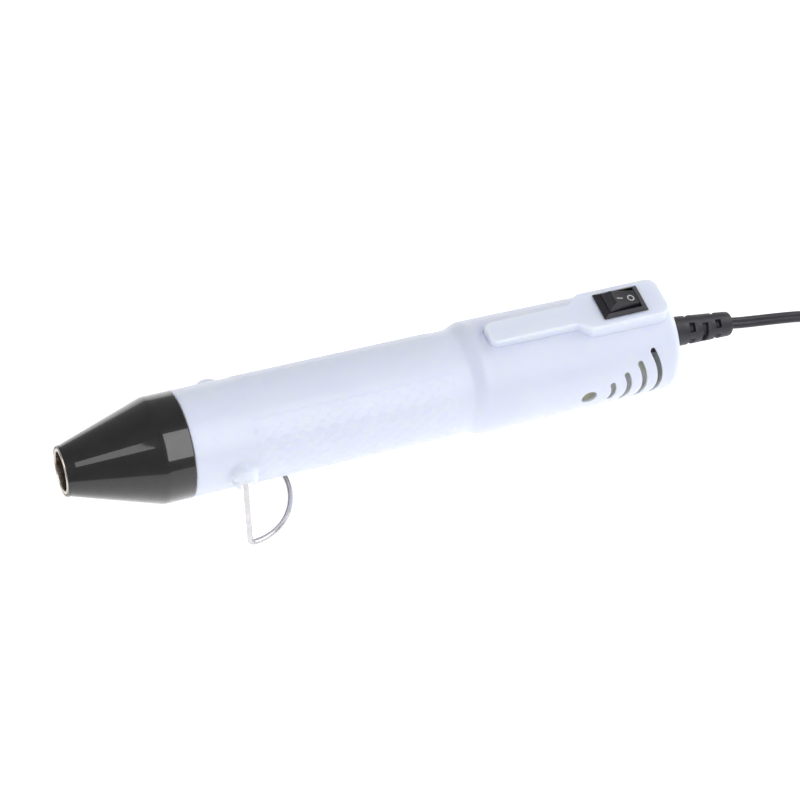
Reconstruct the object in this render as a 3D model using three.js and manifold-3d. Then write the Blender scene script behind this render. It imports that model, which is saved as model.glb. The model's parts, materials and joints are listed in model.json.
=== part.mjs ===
// Hot air tool: a slim hand-held heat tool on a folding wire stand, in millimetres, +Z up.
// The tool is modelled along its own axis, nozzle mouth at x = 0 and cord end at +x, and then
// tilted nose-up so that it stands on the wire stand and on its rear rim.
import * as THREE from "three";
import * as BufferGeometryUtils from "three/addons/utils/BufferGeometryUtils.js";
import Module from "manifold-3d";

const wasm = await Module();
wasm.setup();

// Clearances
const SEAT_GAP = 0.3; // between pieces that seat on each other
const SLIDE_GAP = 0.4; // between pieces that move past each other

// Body: stations are distances from the nozzle mouth
const NOZZLE_LENGTH = 52;
const NOZZLE_CONE_LENGTH = 39.8;
const MOUTH_RADIUS = 11.1;
const MOUTH_NECK_LENGTH = 1.6;
const NOZZLE_SHEET = 0.8;
const BARREL_FRONT_RADIUS = 23.2;
const BARREL_TAPER = 0.4; // by which the barrel's radius shrinks towards the step
const NOZZLE_LEDGE = 0.1; // by which the nozzle's radius passes the barrel's
const BARREL_LENGTH = 124; // from the nozzle seam to the step
const STEP_RAMP_LENGTH = 5;
const GRIP_STEP = 2.2; // from the barrel's rear radius up to the grip's front radius
const GRIP_TAPER = 1.1; // by which the grip's radius shrinks towards the rear
const BODY_LENGTH = 277;
const REAR_FILLET = 3.5;
const HOUSING_WALL = 2.2;
const REAR_WALL = 2.6;
const BODY_SEGMENTS = 48;
const INNER_SEGMENTS = 36;

// Stand: a wire bail whose legs hang from two side bosses and whose foot is a half ring
const TOOL_TILT_DEG = 7; // nose-up angle of the tool on its stand
const BOSS_STATION = 72.6;
const BOSS_RADIUS = 5.7;
const BOSS_RISE = 4.7; // from the barrel's front radius to the boss's flat top
const BOSS_CROWN = 1.6;
const BOSS_NOTCH_WIDTH = 5.2; // of the opening in the boss's cap, where the wire shows
const BAIL_WIRE_RADIUS = 1.15;
const BAIL_DEPTH = 2; // from the boss's flat top in to the middle of a leg
const BAIL_BEND_RADIUS = 2.6;
const BAIL_PIN_ROOM = 1.5; // from the heater tube to the inner end of a pin
const BAIL_FOLD_DEG = 90; // from square to the tool's axis forward to folded
const BAIL_REAR_DEG = 33; // from square to the tool's axis rearward to its stop
const BAIL_SLOT_SPARE_DEG = 3; // by which the boss's slot passes each end of the swing

// Raised switch panel on top of the grip
const PANEL_RISE = 4.4; // from the grip's rear radius to the panel's flat top
const PANEL_FRONT_FROM_REAR = 87; // from the panel's front end to the body's rear face
const PANEL_REAR_MARGIN = 3.6; // from the panel's rear end to the body's rear face
const PANEL_STRIP_HALF_WIDTH = 5.9;
const PANEL_NECK_FROM_REAR = 48; // from where the strip starts to swell to the body's rear face
const PANEL_NECK_LENGTH = 8;
const PANEL_REAR_HALF_WIDTH = 10.4;
const PANEL_CORNER = 3.4;
const PANEL_BEVEL = 0.8;

// Rocker switch, near the common 21 x 15 mm size
const SWITCH_FROM_REAR = 24.2;
const BEZEL_LENGTH = 21;
const BEZEL_WIDTH = 14.4;
const BEZEL_THICKNESS = 1.7;
const BEZEL_EDGE = 0.5; // height of the bezel's upright edge, below its slopes
const BEZEL_SLOPE = [2.5, 1.4]; // how far in the slopes run at the ends and at the sides
const SWITCH_BODY_LENGTH = 18.8;
const SWITCH_BODY_WIDTH = 12.6;
const SWITCH_BODY_DEPTH = 12.6; // below the panel
const ROCKER_SLOT_DEPTH = 8;
const ROCKER_WIDTH = 10.4;
const ROCKER_TOP_WIDTH = 7.3;
const ROCKER_TOP_LENGTH = 12;
const ROCKER_HEIGHT = 5.3; // from the rocker's pivot to its top edges
const ROCKER_DIP = 0.45;
const ROCKER_PIVOT_DROP = 1; // from the panel down to the pivot
const ROCKER_TILT_DEG = 15; // to each side of level
const ROCKER_PIN_RADIUS = 0.9;
const TERMINAL_THICKNESS = 0.8;
const TERMINAL_WIDTH = 4.8;
const TERMINAL_LENGTH = 8;
const TERMINAL_OFFSET = 5.2;

// Air vents: on each side one round hole and arcs struck round it
const VENT_FROM_REAR = 44.5;
const VENT_DROP = 1.2; // from the tool's axis down to the hole's middle
const VENT_HOLE_RADIUS = 3.65;
const VENT_FIRST_ARC_RADIUS = 11.8;
const VENT_ARC_PITCH = 7.45;
const VENT_ARC_COUNT = 4;
const VENT_SLOT_WIDTH = 2.5;
const VENT_HALF_ANGLE_DEG = 29.5;

// Heater
const HEATER_TUBE_ROOM = 2.4; // from the heater tube to the barrel's rear bore
const HEATER_TUBE_SHEET = 0.6;
const HEATER_TUBE_END = 105.7;
const LIP_WIDTH = 1.5; // of the rolled ring round the mouth
const LIP_LENGTH = 2.2;
const MICA_SHEET = 0.8;
const MICA_TUBE_START = 43;
const MICA_TUBE_SHEET = 0.5;
const CARD_START = 45;
const CARD_LENGTH = 54;
const SPIDER_THICKNESS = 1.6;
const SPIDER_ARM = 2.4;
const COIL_WIRE_RADIUS = 1;
const COIL_ROOM = 0.45; // from the heating wire's corners to the mica tube
const COIL_START_OFFSET = 5; // from the cards' front edge
const COIL_PITCH = 4.6;
const COIL_TURNS = 8;
const CUTOUT_SIZE = [8, 5, 2.4];
const FUSE_RADIUS = 1.2;
const FUSE_LENGTH = 8;
const RING_START = 44;
const RING_DEPTH_IN_BARREL = 9;
const RING_BORE_GAP = 0.3;

// Blower
const SHROUD_ROOM = 2.2; // from the shroud to the barrel's rear bore
const SHROUD_WALL = 1.2;
const SHROUD_LENGTH = 56;
const RIB_WIDTH = 1.6;
const FAN_START_OFFSET = 6; // from the shroud's front end
const FAN_LENGTH = 9;
const FAN_HUB_RADIUS = 5.2;
const FAN_TIP_GAP = 0.6;
const FAN_BLADES = 7;
const FAN_BLADE_THICKNESS = 1.1;
const MOTOR_RADIUS = 12.1;
const MOTOR_LENGTH = 30.7;
const MOTOR_CUP_WALL = 1.2;
const MOTOR_FAN_GAP = 6;
const MOTOR_NOSE_RADIUS = 3.2;
const MOTOR_NOSE_LENGTH = 1.6;
const END_CAP_LENGTH = 3;
const END_CAP_RADIUS = 11.4;
const SHAFT_RADIUS = 1.15;
const MOTOR_TAB = [7, 2.8, 0.6]; // length, width, thickness
const MOTOR_TAB_OFFSET = 7;

// Rectifier board behind the motor
const BOARD_RADIUS = 12.6;
const BOARD_THICKNESS = 1.6;
const BOARD_OFFSET = 2.6; // from the motor's end cap
const DIODE_RADIUS = 1.35;
const DIODE_LENGTH = 5.2;
const DIODE_PITCH = 4.4;
const DIODE_ROW_OFFSET = 5.4;
const CAPACITOR_RADIUS = 4;
const CAPACITOR_LENGTH = 9;
const CAPACITOR_DROP = 7;

// Leads
const LEAD_RADIUS = 0.7;
const LEAD_NOTCH_LENGTH = 6; // of the notches in the shroud's front edge
const LEAD_END_OFFSET = 8.5; // from the tool's axis to where a lead meets the element

// Cord and its strain relief
const RELIEF_LENGTH = 35.5;
const RELIEF_DROOP_DEG = 6.3;
const RELIEF_BASE_RADIUS = 7.1;
const RELIEF_END_RADIUS = 5.5;
const RELIEF_CHAMFER = 1;
const RELIEF_NECK_RADIUS = 5;
const RELIEF_FLANGE_RADIUS = 7.4;
const RELIEF_FLANGE_LENGTH = 2.6;
const RELIEF_FIRST_ROW = 14; // from the rear face
const RELIEF_TURN_DEG = -13; // of the windows round the sleeve, from far side to top
const RELIEF_ROW_PITCH = 6.8;
const RELIEF_WINDOW_WIDTH = 2.9;
const RELIEF_WINDOW_DEPTH = 2.3;
const RELIEF_CROSSED_HALF_DEG = 25; // half angle of the windows in rows of four
const RELIEF_SIDE_HALF_DEG = 48; // half angle of the windows in rows of two
const CORD_WIDTH = 5.2;
const CORD_THICKNESS = 3.2;
const COIL_MID_RADIUS = 30;
const COIL_LAYER_TURNS = 3.6;
const COIL_STEPS_PER_TURN = 24;
const COIL_TURN_GAP = 0.4;
const COIL_CENTRE_FROM_EXIT = [96.5, 2.6];
const COIL_ENTRY_DEG = 225; // where the cord runs into the outer turn
const RUN_OUT_RADIUS = 22; // bend that takes the cord's end over the coil to the plug
const RUN_OUT_STEPS = 10;
const RUN_OUT_RISE_BEFORE = 30; // length along the outer turn over which the cord starts to rise
const TIE_DEG = 45; // where the tie holds the coil
const TIE_WIDTH = 5;
const TIE_THICKNESS = 0.6;
const TIE_CORNER = 2.4;
const TIE_HUMP_DEG = 60; // the coil rises over the tie within this angle, either side
const PLUG_LENGTH = 32;
const PLUG_WIDTH = 24;
const PLUG_THICKNESS = 13;
const PLUG_CORNER = 4;
const PLUG_BLADE = [1.5, 17, 6.3]; // thickness, length, width
const PLUG_BLADE_SPACING = 12.7;

const { degToRad: rad, lerp, smoothstep } = THREE.MathUtils;

// Mesh helpers

/** Merged, closed copy of a geometry with its faces turned out. */
function closedSolid(geometry) {
  const bare = geometry.clone();
  bare.deleteAttribute("normal");
  bare.deleteAttribute("uv");
  const merged = BufferGeometryUtils.mergeVertices(bare, 1e-4);
  const position = merged.getAttribute("position");
  const kept = [];
  let volume = 0;
  const a = new THREE.Vector3();
  const b = new THREE.Vector3();
  const c = new THREE.Vector3();
  for (let i = 0; i < merged.index.count; i += 3) {
    const face = [merged.index.getX(i), merged.index.getX(i + 1), merged.index.getX(i + 2)];
    if (face[0] === face[1] || face[1] === face[2] || face[2] === face[0]) continue;
    a.fromBufferAttribute(position, face[0]);
    b.fromBufferAttribute(position, face[1]);
    c.fromBufferAttribute(position, face[2]);
    volume += a.dot(b.clone().cross(c));
    kept.push(face);
  }
  merged.setIndex(kept.flatMap((f) => (volume < 0 ? [f[0], f[2], f[1]] : f)));
  return merged;
}

function toManifold(geometry) {
  const solid = closedSolid(geometry);
  return new wasm.Manifold(
    new wasm.Mesh({
      numProp: 3,
      vertProperties: new Float32Array(solid.getAttribute("position").array),
      triVerts: new Uint32Array(solid.index.array),
    }),
  );
}

function fromManifold(manifold) {
  const mesh = manifold.getMesh();
  const geometry = new THREE.BufferGeometry();
  geometry.setAttribute("position", new THREE.BufferAttribute(new Float32Array(mesh.vertProperties), 3));
  geometry.setIndex(new THREE.BufferAttribute(new Uint32Array(mesh.triVerts), 1));
  return geometry;
}

/** Joins the first geometry with the added ones and takes the cut ones away. */
function carve(base, { add = [], cut = [] }) {
  let solid = toManifold(base);
  for (const piece of add) solid = solid.add(toManifold(piece));
  for (const tool of cut) solid = solid.subtract(toManifold(tool));
  return fromManifold(solid);
}

/** Solid of revolution round the tool's axis, from [station, radius] points, outer side first. */
function turned(points, segments = BODY_SEGMENTS) {
  const profile = points.map(([station, radius]) => new THREE.Vector2(Math.max(radius, 0), station));
  const closed = points[0][1] > 0 || points[points.length - 1][1] > 0;
  if (closed) profile.push(profile[0].clone());
  return new THREE.LatheGeometry(profile, segments).rotateZ(-Math.PI / 2);
}

/** Ring between two stations and two radii. */
function ring(start, end, outer, inner, segments = BODY_SEGMENTS) {
  return turned([[start, outer], [end, outer], [end, inner], [start, inner]], segments);
}

/** Round bar along x, y or z between two coordinates. */
function bar(axis, from, to, radius, centre = [0, 0], sides = 16) {
  const geometry = new THREE.CylinderGeometry(radius, radius, Math.abs(to - from), sides);
  const middle = (from + to) / 2;
  if (axis === "x") return geometry.rotateZ(Math.PI / 2).translate(middle, centre[0], centre[1]);
  if (axis === "y") return geometry.translate(centre[0], middle, centre[1]);
  return geometry.rotateX(Math.PI / 2).translate(centre[0], centre[1], middle);
}

/** Solid drawn out along z from a flat outline. */
function extruded(outline, depth, curveSegments = 12) {
  return new THREE.ExtrudeGeometry(outline, { depth, curveSegments, bevelEnabled: false });
}

/** Block between two corners. */
function block([x0, y0, z0], [x1, y1, z1]) {
  const size = [x1 - x0, y1 - y0, z1 - z0];
  return new THREE.BoxGeometry(...size).translate((x0 + x1) / 2, (y0 + y1) / 2, (z0 + z1) / 2);
}

/** Tube through points, with flat ends: its section is an ellipse, which can be kept level. */
function tube(points, sideRadius, upRadius = sideRadius, sides = 6, keepLevel = false) {
  const vertices = [];
  const faces = [];
  const count = points.length;
  let side = null;
  points.forEach((point, i) => {
    const ahead = points[Math.min(i + 1, count - 1)].clone().sub(point).normalize();
    const behind = point.clone().sub(points[Math.max(i - 1, 0)]).normalize();
    const tangent = ahead.clone().add(behind).normalize();
    if (side === null || keepLevel) side = levelSide(tangent);
    side.sub(tangent.clone().multiplyScalar(side.dot(tangent))).normalize();
    const up = side.clone().cross(tangent).normalize();
    for (let k = 0; k < sides; k++) {
      const angle = ((k + 0.5) / sides) * 2 * Math.PI;
      vertices.push(
        point
          .clone()
          .addScaledVector(side, sideRadius * Math.cos(angle))
          .addScaledVector(up, upRadius * Math.sin(angle)),
      );
    }
  });
  for (let i = 0; i < count - 1; i++) {
    for (let k = 0; k < sides; k++) {
      const a = i * sides + k;
      const b = i * sides + ((k + 1) % sides);
      faces.push(a, a + sides, b, b, a + sides, b + sides);
    }
  }
  for (let k = 1; k < sides - 1; k++) {
    const last = (count - 1) * sides;
    faces.push(0, k, k + 1, last, last + k + 1, last + k);
  }
  const geometry = new THREE.BufferGeometry().setFromPoints(vertices);
  geometry.setIndex(faces);
  return geometry;
}

function levelSide(tangent) {
  const side = new THREE.Vector3(0, 0, 1).cross(tangent);
  if (side.lengthSq() < 1e-6) side.set(0, 1, 0);
  return side.normalize();
}

/** Points of an arc in the plane of two unit vectors, from one angle to another. */
function arcPoints(centre, first, second, radius, from, to, steps) {
  return Array.from({ length: steps + 1 }, (_, i) => {
    const angle = from + ((to - from) * i) / steps;
    return centre
      .clone()
      .addScaledVector(first, radius * Math.cos(angle))
      .addScaledVector(second, radius * Math.sin(angle));
  });
}

function vector(x, y, z) {
  return new THREE.Vector3(x, y, z);
}

// Materials

const finish = (color, roughness, metalness = 0) =>
  new THREE.MeshStandardMaterial({ color, roughness, metalness });
const shellWhite = finish(0xe9edf6, 0.42);
const nozzleEnamel = finish(0x1c1c20, 0.18, 0.2);
const brightSteel = finish(0xc9c9cc, 0.25, 1);
const micaSheet = finish(0xc9b48a, 0.6);
const heatWire = finish(0x6e6a66, 0.5, 1);
const phenolic = finish(0x3a2c22, 0.6);
const carrierPlastic = finish(0xd8d5c8, 0.6);
const fanPlastic = finish(0x2b2b2e, 0.5);
const canSteel = finish(0xa7a9ac, 0.35, 1);
const capPlastic = finish(0xe6e2d6, 0.6);
const brass = finish(0xc7a24a, 0.35, 1);
const boardResin = finish(0x9a6b34, 0.7);
const diodeBlack = finish(0x1a1a1c, 0.45);
const capacitorBlue = finish(0x20375f, 0.4);
const switchBlack = finish(0x1d1d20, 0.4);
const leadRed = finish(0x9b2d26, 0.5);
const leadWhite = finish(0xdcdcd8, 0.5);
const cordBlack = finish(0x26262b, 0.45);

// Forms shared by several pieces

const seamStation = NOZZLE_LENGTH;
const stepStation = seamStation + BARREL_LENGTH;
const gripStation = stepStation + STEP_RAMP_LENGTH;
const switchStation = BODY_LENGTH - SWITCH_FROM_REAR;
const ventStation = BODY_LENGTH - VENT_FROM_REAR;
const nozzleRadius = BARREL_FRONT_RADIUS + NOZZLE_LEDGE;
const barrelRearRadius = BARREL_FRONT_RADIUS - BARREL_TAPER;
const gripFrontRadius = barrelRearRadius + GRIP_STEP;
const gripRearRadius = gripFrontRadius - GRIP_TAPER;
const barrelBore = barrelRearRadius - HOUSING_WALL;
const barrelFrontBore = BARREL_FRONT_RADIUS - HOUSING_WALL;
const heaterTubeRadius = barrelBore - HEATER_TUBE_ROOM;
const bossReach = BARREL_FRONT_RADIUS + BOSS_RISE;
const bailHalfWidth = bossReach - BAIL_DEPTH;
const bailPinInset = heaterTubeRadius + BAIL_PIN_ROOM;
const panelHeight = gripRearRadius + PANEL_RISE;
const panelFoot = gripRearRadius - HOUSING_WALL * 3;

/** Inner radius of the housing's barrel at a station. */
function barrelBoreAt(station) {
  const share = (station - seamStation) / BARREL_LENGTH;
  return lerp(barrelFrontBore, barrelBore, THREE.MathUtils.clamp(share, 0, 1));
}

/** Outer radius of the nozzle's cone at a station. */
function coneRadiusAt(station) {
  const share = (station - MOUTH_NECK_LENGTH) / (NOZZLE_CONE_LENGTH - MOUTH_NECK_LENGTH);
  return lerp(MOUTH_RADIUS, nozzleRadius, THREE.MathUtils.clamp(share, 0, 1));
}

// Nozzle and heater

function nozzleGeometry() {
  const rear = seamStation - SEAT_GAP / 2;
  return turned([
    [0, MOUTH_RADIUS - 0.3],
    [0.3, MOUTH_RADIUS],
    [MOUTH_NECK_LENGTH, MOUTH_RADIUS],
    [NOZZLE_CONE_LENGTH - 1.5, coneRadiusAt(NOZZLE_CONE_LENGTH - 1.5)],
    [NOZZLE_CONE_LENGTH + 1.5, nozzleRadius],
    [rear, nozzleRadius],
    [rear, nozzleRadius - NOZZLE_SHEET],
    [NOZZLE_CONE_LENGTH, nozzleRadius - NOZZLE_SHEET],
    [MOUTH_NECK_LENGTH, MOUTH_RADIUS - NOZZLE_SHEET],
    [0, MOUTH_RADIUS - NOZZLE_SHEET],
  ]);
}

/** Steel tube with its front drawn in to the mouth, where its rolled lip shows as a bright ring. */
function heaterTubeGeometry() {
  const lipOuter = MOUTH_RADIUS - NOZZLE_SHEET - SEAT_GAP;
  const bore = lipOuter - LIP_WIDTH;
  return turned([
    [-0.3, lipOuter - 0.5],
    [0.1, lipOuter],
    [LIP_LENGTH - 0.4, lipOuter],
    [LIP_LENGTH, bore + HEATER_TUBE_SHEET + 0.4],
    [LIP_LENGTH + 2, bore + HEATER_TUBE_SHEET],
    [NOZZLE_CONE_LENGTH, heaterTubeRadius],
    [HEATER_TUBE_END, heaterTubeRadius],
    [HEATER_TUBE_END, heaterTubeRadius - HEATER_TUBE_SHEET],
    [NOZZLE_CONE_LENGTH, heaterTubeRadius - HEATER_TUBE_SHEET],
    [LIP_LENGTH + 2.2, bore],
    [0.1, bore],
    [-0.3, bore + 0.5],
  ], INNER_SEGMENTS);
}

/** Heat-proof ring that centres the heater tube and joins the nozzle to the barrel. */
function heaterRingGeometry() {
  const bore = heaterTubeRadius + RING_BORE_GAP;
  const front = nozzleRadius - NOZZLE_SHEET - SEAT_GAP;
  const rear = barrelBoreAt(seamStation + RING_DEPTH_IN_BARREL) - SEAT_GAP;
  const shoulder = seamStation - SEAT_GAP / 2;
  return turned([
    [RING_START, front],
    [shoulder, front],
    [shoulder, rear],
    [seamStation + RING_DEPTH_IN_BARREL, rear],
    [seamStation + RING_DEPTH_IN_BARREL, bore],
    [RING_START, bore],
  ], INNER_SEGMENTS);
}

const micaTubeRadius = heaterTubeRadius - HEATER_TUBE_SHEET - SEAT_GAP;
const coilCorner = micaTubeRadius - MICA_TUBE_SHEET - COIL_ROOM - COIL_WIRE_RADIUS;
const cardHalfWidth = coilCorner - COIL_WIRE_RADIUS * 1.15 - SEAT_GAP;
const cardEnd = CARD_START + CARD_LENGTH;
const spiderStart = cardEnd + SEAT_GAP;

function micaTubeGeometry() {
  const rear = spiderStart + SPIDER_THICKNESS;
  return ring(MICA_TUBE_START, rear, micaTubeRadius, micaTubeRadius - MICA_TUBE_SHEET, 32);
}

/** One of two mica cards that slot into each other; the slot opens at its front or at its rear. */
function heaterCardGeometry(slotAtFront) {
  const half = cardHalfWidth;
  const slot = MICA_SHEET / 2 + SEAT_GAP;
  const middle = CARD_START + CARD_LENGTH / 2;
  const outline = new THREE.Shape();
  outline.moveTo(CARD_START, -half);
  outline.lineTo(cardEnd, -half);
  if (slotAtFront) {
    outline.lineTo(cardEnd, half);
    outline.lineTo(CARD_START, half);
    outline.lineTo(CARD_START, slot);
    outline.lineTo(middle + SEAT_GAP, slot);
    outline.lineTo(middle + SEAT_GAP, -slot);
    outline.lineTo(CARD_START, -slot);
  } else {
    outline.lineTo(cardEnd, -slot);
    outline.lineTo(middle - SEAT_GAP, -slot);
    outline.lineTo(middle - SEAT_GAP, slot);
    outline.lineTo(cardEnd, slot);
    outline.lineTo(cardEnd, half);
    outline.lineTo(CARD_START, half);
  }
  const card = extruded(outline, MICA_SHEET);
  card.translate(0, 0, -MICA_SHEET / 2);
  return slotAtFront ? card : card.rotateX(Math.PI / 2);
}

/** Mica disc with four quarter windows that closes the rear of the element. */
function heaterSpiderGeometry() {
  const outer = micaTubeRadius - MICA_TUBE_SHEET - SEAT_GAP;
  const inner = outer - 2;
  const half = SPIDER_ARM / 2;
  const edge = Math.asin(half / inner);
  const quarter = new THREE.Shape();
  quarter.absarc(0, 0, inner, edge, Math.PI / 2 - edge);
  quarter.lineTo(half, half);
  const windows = [0, 1, 2, 3].map((count) => {
    const window = extruded(quarter, 3 * SPIDER_THICKNESS, 4);
    window.rotateY(Math.PI / 2).rotateX((count * Math.PI) / 2);
    return window.translate(spiderStart - SPIDER_THICKNESS, 0, 0);
  });
  const disc = bar("x", spiderStart, spiderStart + SPIDER_THICKNESS, outer, [0, 0], 32);
  return carve(disc, { cut: windows });
}

/** Heating wire wound round the edges of the crossed cards, four corners to a turn. */
function heatingCoilPoints() {
  const stepsPerTurn = 8;
  const steps = COIL_TURNS * stepsPerTurn;
  return Array.from({ length: steps + 1 }, (_, i) => {
    const angle = ((i + 1) / stepsPerTurn) * 2 * Math.PI;
    const reach = (i + 1) % 2 === 0 ? coilCorner : coilCorner * Math.SQRT1_2 * 1.12;
    const station = CARD_START + COIL_START_OFFSET + (COIL_PITCH * i) / stepsPerTurn;
    return vector(station, reach * Math.cos(angle), reach * Math.sin(angle));
  });
}

function thermalCutoutGeometry() {
  const [length, width, height] = CUTOUT_SIZE;
  const bottom = MICA_SHEET / 2 + SEAT_GAP;
  const inner = MICA_SHEET / 2 + SEAT_GAP * 4;
  return block([cardEnd - 1 - length, inner, bottom], [cardEnd - 1, inner + width, bottom + height]);
}

function thermalFuseGeometry() {
  const height = MICA_SHEET / 2 + SEAT_GAP + FUSE_RADIUS;
  return bar("x", cardEnd - 1 - FUSE_LENGTH, cardEnd - 1, FUSE_RADIUS, [-height - FUSE_RADIUS, height], 12);
}

// Blower

const shroudStart = HEATER_TUBE_END + SEAT_GAP;
const shroudEnd = shroudStart + SHROUD_LENGTH;
const shroudRadius = barrelBore - SHROUD_ROOM;
const shroudBore = shroudRadius - SHROUD_WALL;
const leadRunRadius = shroudRadius + SLIDE_GAP + LEAD_RADIUS;
const fanStart = shroudStart + FAN_START_OFFSET;
const fanEnd = fanStart + FAN_LENGTH;
const motorStart = fanEnd + MOTOR_FAN_GAP;
const motorEnd = motorStart + MOTOR_LENGTH;
const endCapEnd = motorEnd + SEAT_GAP + END_CAP_LENGTH;
const cupBore = MOTOR_RADIUS + SEAT_GAP;

/** Plastic carrier: shroud round the fan, cup for the motor, vanes between, ribs to the barrel. */
function motorCarrierGeometry() {
  const cupRadius = cupBore + MOTOR_CUP_WALL;
  const cupFront = motorStart - SEAT_GAP - MOTOR_CUP_WALL;
  const shroud = ring(shroudStart, shroudEnd, shroudRadius, shroudBore, 40);
  const cup = turned(
    [
      [cupFront, cupRadius],
      [motorEnd, cupRadius],
      [motorEnd, cupBore],
      [motorStart - SEAT_GAP, cupBore],
      [motorStart - SEAT_GAP, MOTOR_NOSE_RADIUS + SEAT_GAP],
      [cupFront, MOTOR_NOSE_RADIUS + SEAT_GAP],
    ],
    32,
  );
  const add = [cup];
  for (let i = 0; i < 4; i++) {
    const half = RIB_WIDTH / 2;
    const vane = block([cupFront, cupRadius - 0.5, -half], [motorEnd, shroudBore + 0.5, half]);
    const ribTop = barrelBoreAt(shroudEnd) - SEAT_GAP;
    const rib = block([fanEnd, shroudRadius - 0.4, -RIB_WIDTH / 2], [shroudEnd, ribTop, RIB_WIDTH / 2]);
    const turn = Math.PI / 4 + (i * Math.PI) / 2;
    add.push(vane.rotateX(turn), rib.rotateX(turn));
  }
  const notch = LEAD_RADIUS + SLIDE_GAP;
  const notchEnd = shroudStart + LEAD_NOTCH_LENGTH;
  const cut = [block([shroudStart - 1, -shroudRadius - 1, -notch], [notchEnd, shroudRadius + 1, notch])];
  return carve(shroud, { add, cut });
}

/** Closed loft through rings of points that have equal counts. */
function loft(rings) {
  const count = rings[0].length;
  const faces = [];
  for (let i = 0; i < rings.length - 1; i++) {
    for (let k = 0; k < count; k++) {
      const a = i * count + k;
      const b = i * count + ((k + 1) % count);
      faces.push(a, b, a + count, b, b + count, a + count);
    }
  }
  const last = (rings.length - 1) * count;
  for (let k = 1; k < count - 1; k++) faces.push(0, k + 1, k, last, last + k, last + k + 1);
  const geometry = new THREE.BufferGeometry().setFromPoints(rings.flat());
  geometry.setIndex(faces);
  return geometry;
}

/** One twisted fan blade, lofted from the hub out to the tip. */
function fanBlade(tip) {
  const stations = 4;
  const middle = (fanStart + fanEnd) / 2;
  const rings = Array.from({ length: stations + 1 }, (_, i) => {
    const share = i / stations;
    const radius = lerp(FAN_HUB_RADIUS - 0.6, tip, share);
    const pitch = rad(lerp(50, 28, share));
    const chord = lerp(9, 11, share) / 2;
    const half = FAN_BLADE_THICKNESS / 2;
    const corners = [[-chord, 0], [0, half], [chord, 0], [0, -half]];
    return corners.map(([along, across]) => {
      const axial = along * Math.sin(pitch) + across * Math.cos(pitch);
      const around = along * Math.cos(pitch) - across * Math.sin(pitch);
      const angle = around / radius;
      return vector(middle + axial, radius * Math.sin(angle), radius * Math.cos(angle));
    });
  });
  return loft(rings);
}

function fanGeometry() {
  const tip = shroudBore - FAN_TIP_GAP;
  const bore = SHAFT_RADIUS + SEAT_GAP;
  const hub = turned(
    [
      [fanStart, FAN_HUB_RADIUS - 1.4],
      [fanStart + 1.4, FAN_HUB_RADIUS],
      [fanEnd, FAN_HUB_RADIUS],
      [fanEnd, bore],
      [fanStart, bore],
    ],
    24,
  );
  const turn = (2 * Math.PI) / FAN_BLADES;
  const blades = Array.from({ length: FAN_BLADES }, (_, i) => fanBlade(tip).rotateX(i * turn));
  return carve(hub, { add: blades });
}

function motorCanGeometry() {
  const bore = SHAFT_RADIUS + SEAT_GAP;
  return turned(
    [
      [motorStart - MOTOR_NOSE_LENGTH, MOTOR_NOSE_RADIUS],
      [motorStart, MOTOR_NOSE_RADIUS],
      [motorStart, MOTOR_RADIUS - 1],
      [motorStart + 1, MOTOR_RADIUS],
      [motorEnd, MOTOR_RADIUS],
      [motorEnd, bore],
      [motorStart - MOTOR_NOSE_LENGTH, bore],
    ],
    32,
  );
}

function motorEndCapGeometry() {
  return turned(
    [
      [motorEnd + SEAT_GAP, 0],
      [motorEnd + SEAT_GAP, END_CAP_RADIUS],
      [endCapEnd - 0.8, END_CAP_RADIUS],
      [endCapEnd, END_CAP_RADIUS - 0.8],
      [endCapEnd, 0],
    ],
    32,
  );
}

function motorShaftGeometry() {
  return bar("x", fanStart - 1.5, motorEnd - SEAT_GAP, SHAFT_RADIUS, [0, 0], 12);
}

// Rectifier board

const boardStart = endCapEnd + BOARD_OFFSET;
const boardEnd = boardStart + BOARD_THICKNESS;

function motorTabGeometry(side) {
  const [length, width, thickness] = MOTOR_TAB;
  const middle = side * MOTOR_TAB_OFFSET;
  const start = endCapEnd + SEAT_GAP;
  const low = [start, middle - width / 2, -thickness / 2];
  return block(low, [start + length, middle + width / 2, thickness / 2]);
}

function rectifierBoardGeometry() {
  const [, width, thickness] = MOTOR_TAB;
  const slots = [-1, 1].map((side) => {
    const middle = side * MOTOR_TAB_OFFSET;
    const half = [width / 2 + SEAT_GAP, thickness / 2 + SEAT_GAP];
    return block([boardStart - 1, middle - half[0], -half[1]], [boardEnd + 1, middle + half[0], half[1]]);
  });
  const disc = bar("x", boardStart, boardEnd, BOARD_RADIUS, [0, 0], 32);
  return carve(disc, { cut: slots });
}

/** Diode lying on the board's rear face, with its two legs bent to the board. */
function diodeGeometry(index) {
  const across = (index - 1.5) * DIODE_PITCH;
  const height = DIODE_ROW_OFFSET;
  const lift = boardEnd + SEAT_GAP + DIODE_RADIUS + 0.5;
  const half = DIODE_LENGTH / 2;
  const legReach = half + 1.2;
  const body = bar("z", height - half, height + half, DIODE_RADIUS, [lift, across], 10);
  const leg = 0.35;
  const low = [lift - leg, across - leg, height - legReach];
  const wire = block(low, [lift + leg, across + leg, height + legReach]);
  const feet = [-legReach, legReach].map((z) => {
    const edge = z > 0 ? [z - 2 * leg, z] : [z, z + 2 * leg];
    const low = [boardEnd + SEAT_GAP, across - leg, height + edge[0]];
    return block(low, [lift + leg, across + leg, height + edge[1]]);
  });
  return carve(body, { add: [wire, ...feet] });
}

function capacitorGeometry() {
  const start = boardEnd + SEAT_GAP;
  const middle = -CAPACITOR_DROP;
  return bar("x", start, start + CAPACITOR_LENGTH, CAPACITOR_RADIUS, [0, middle], 20);
}

// Housing

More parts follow.
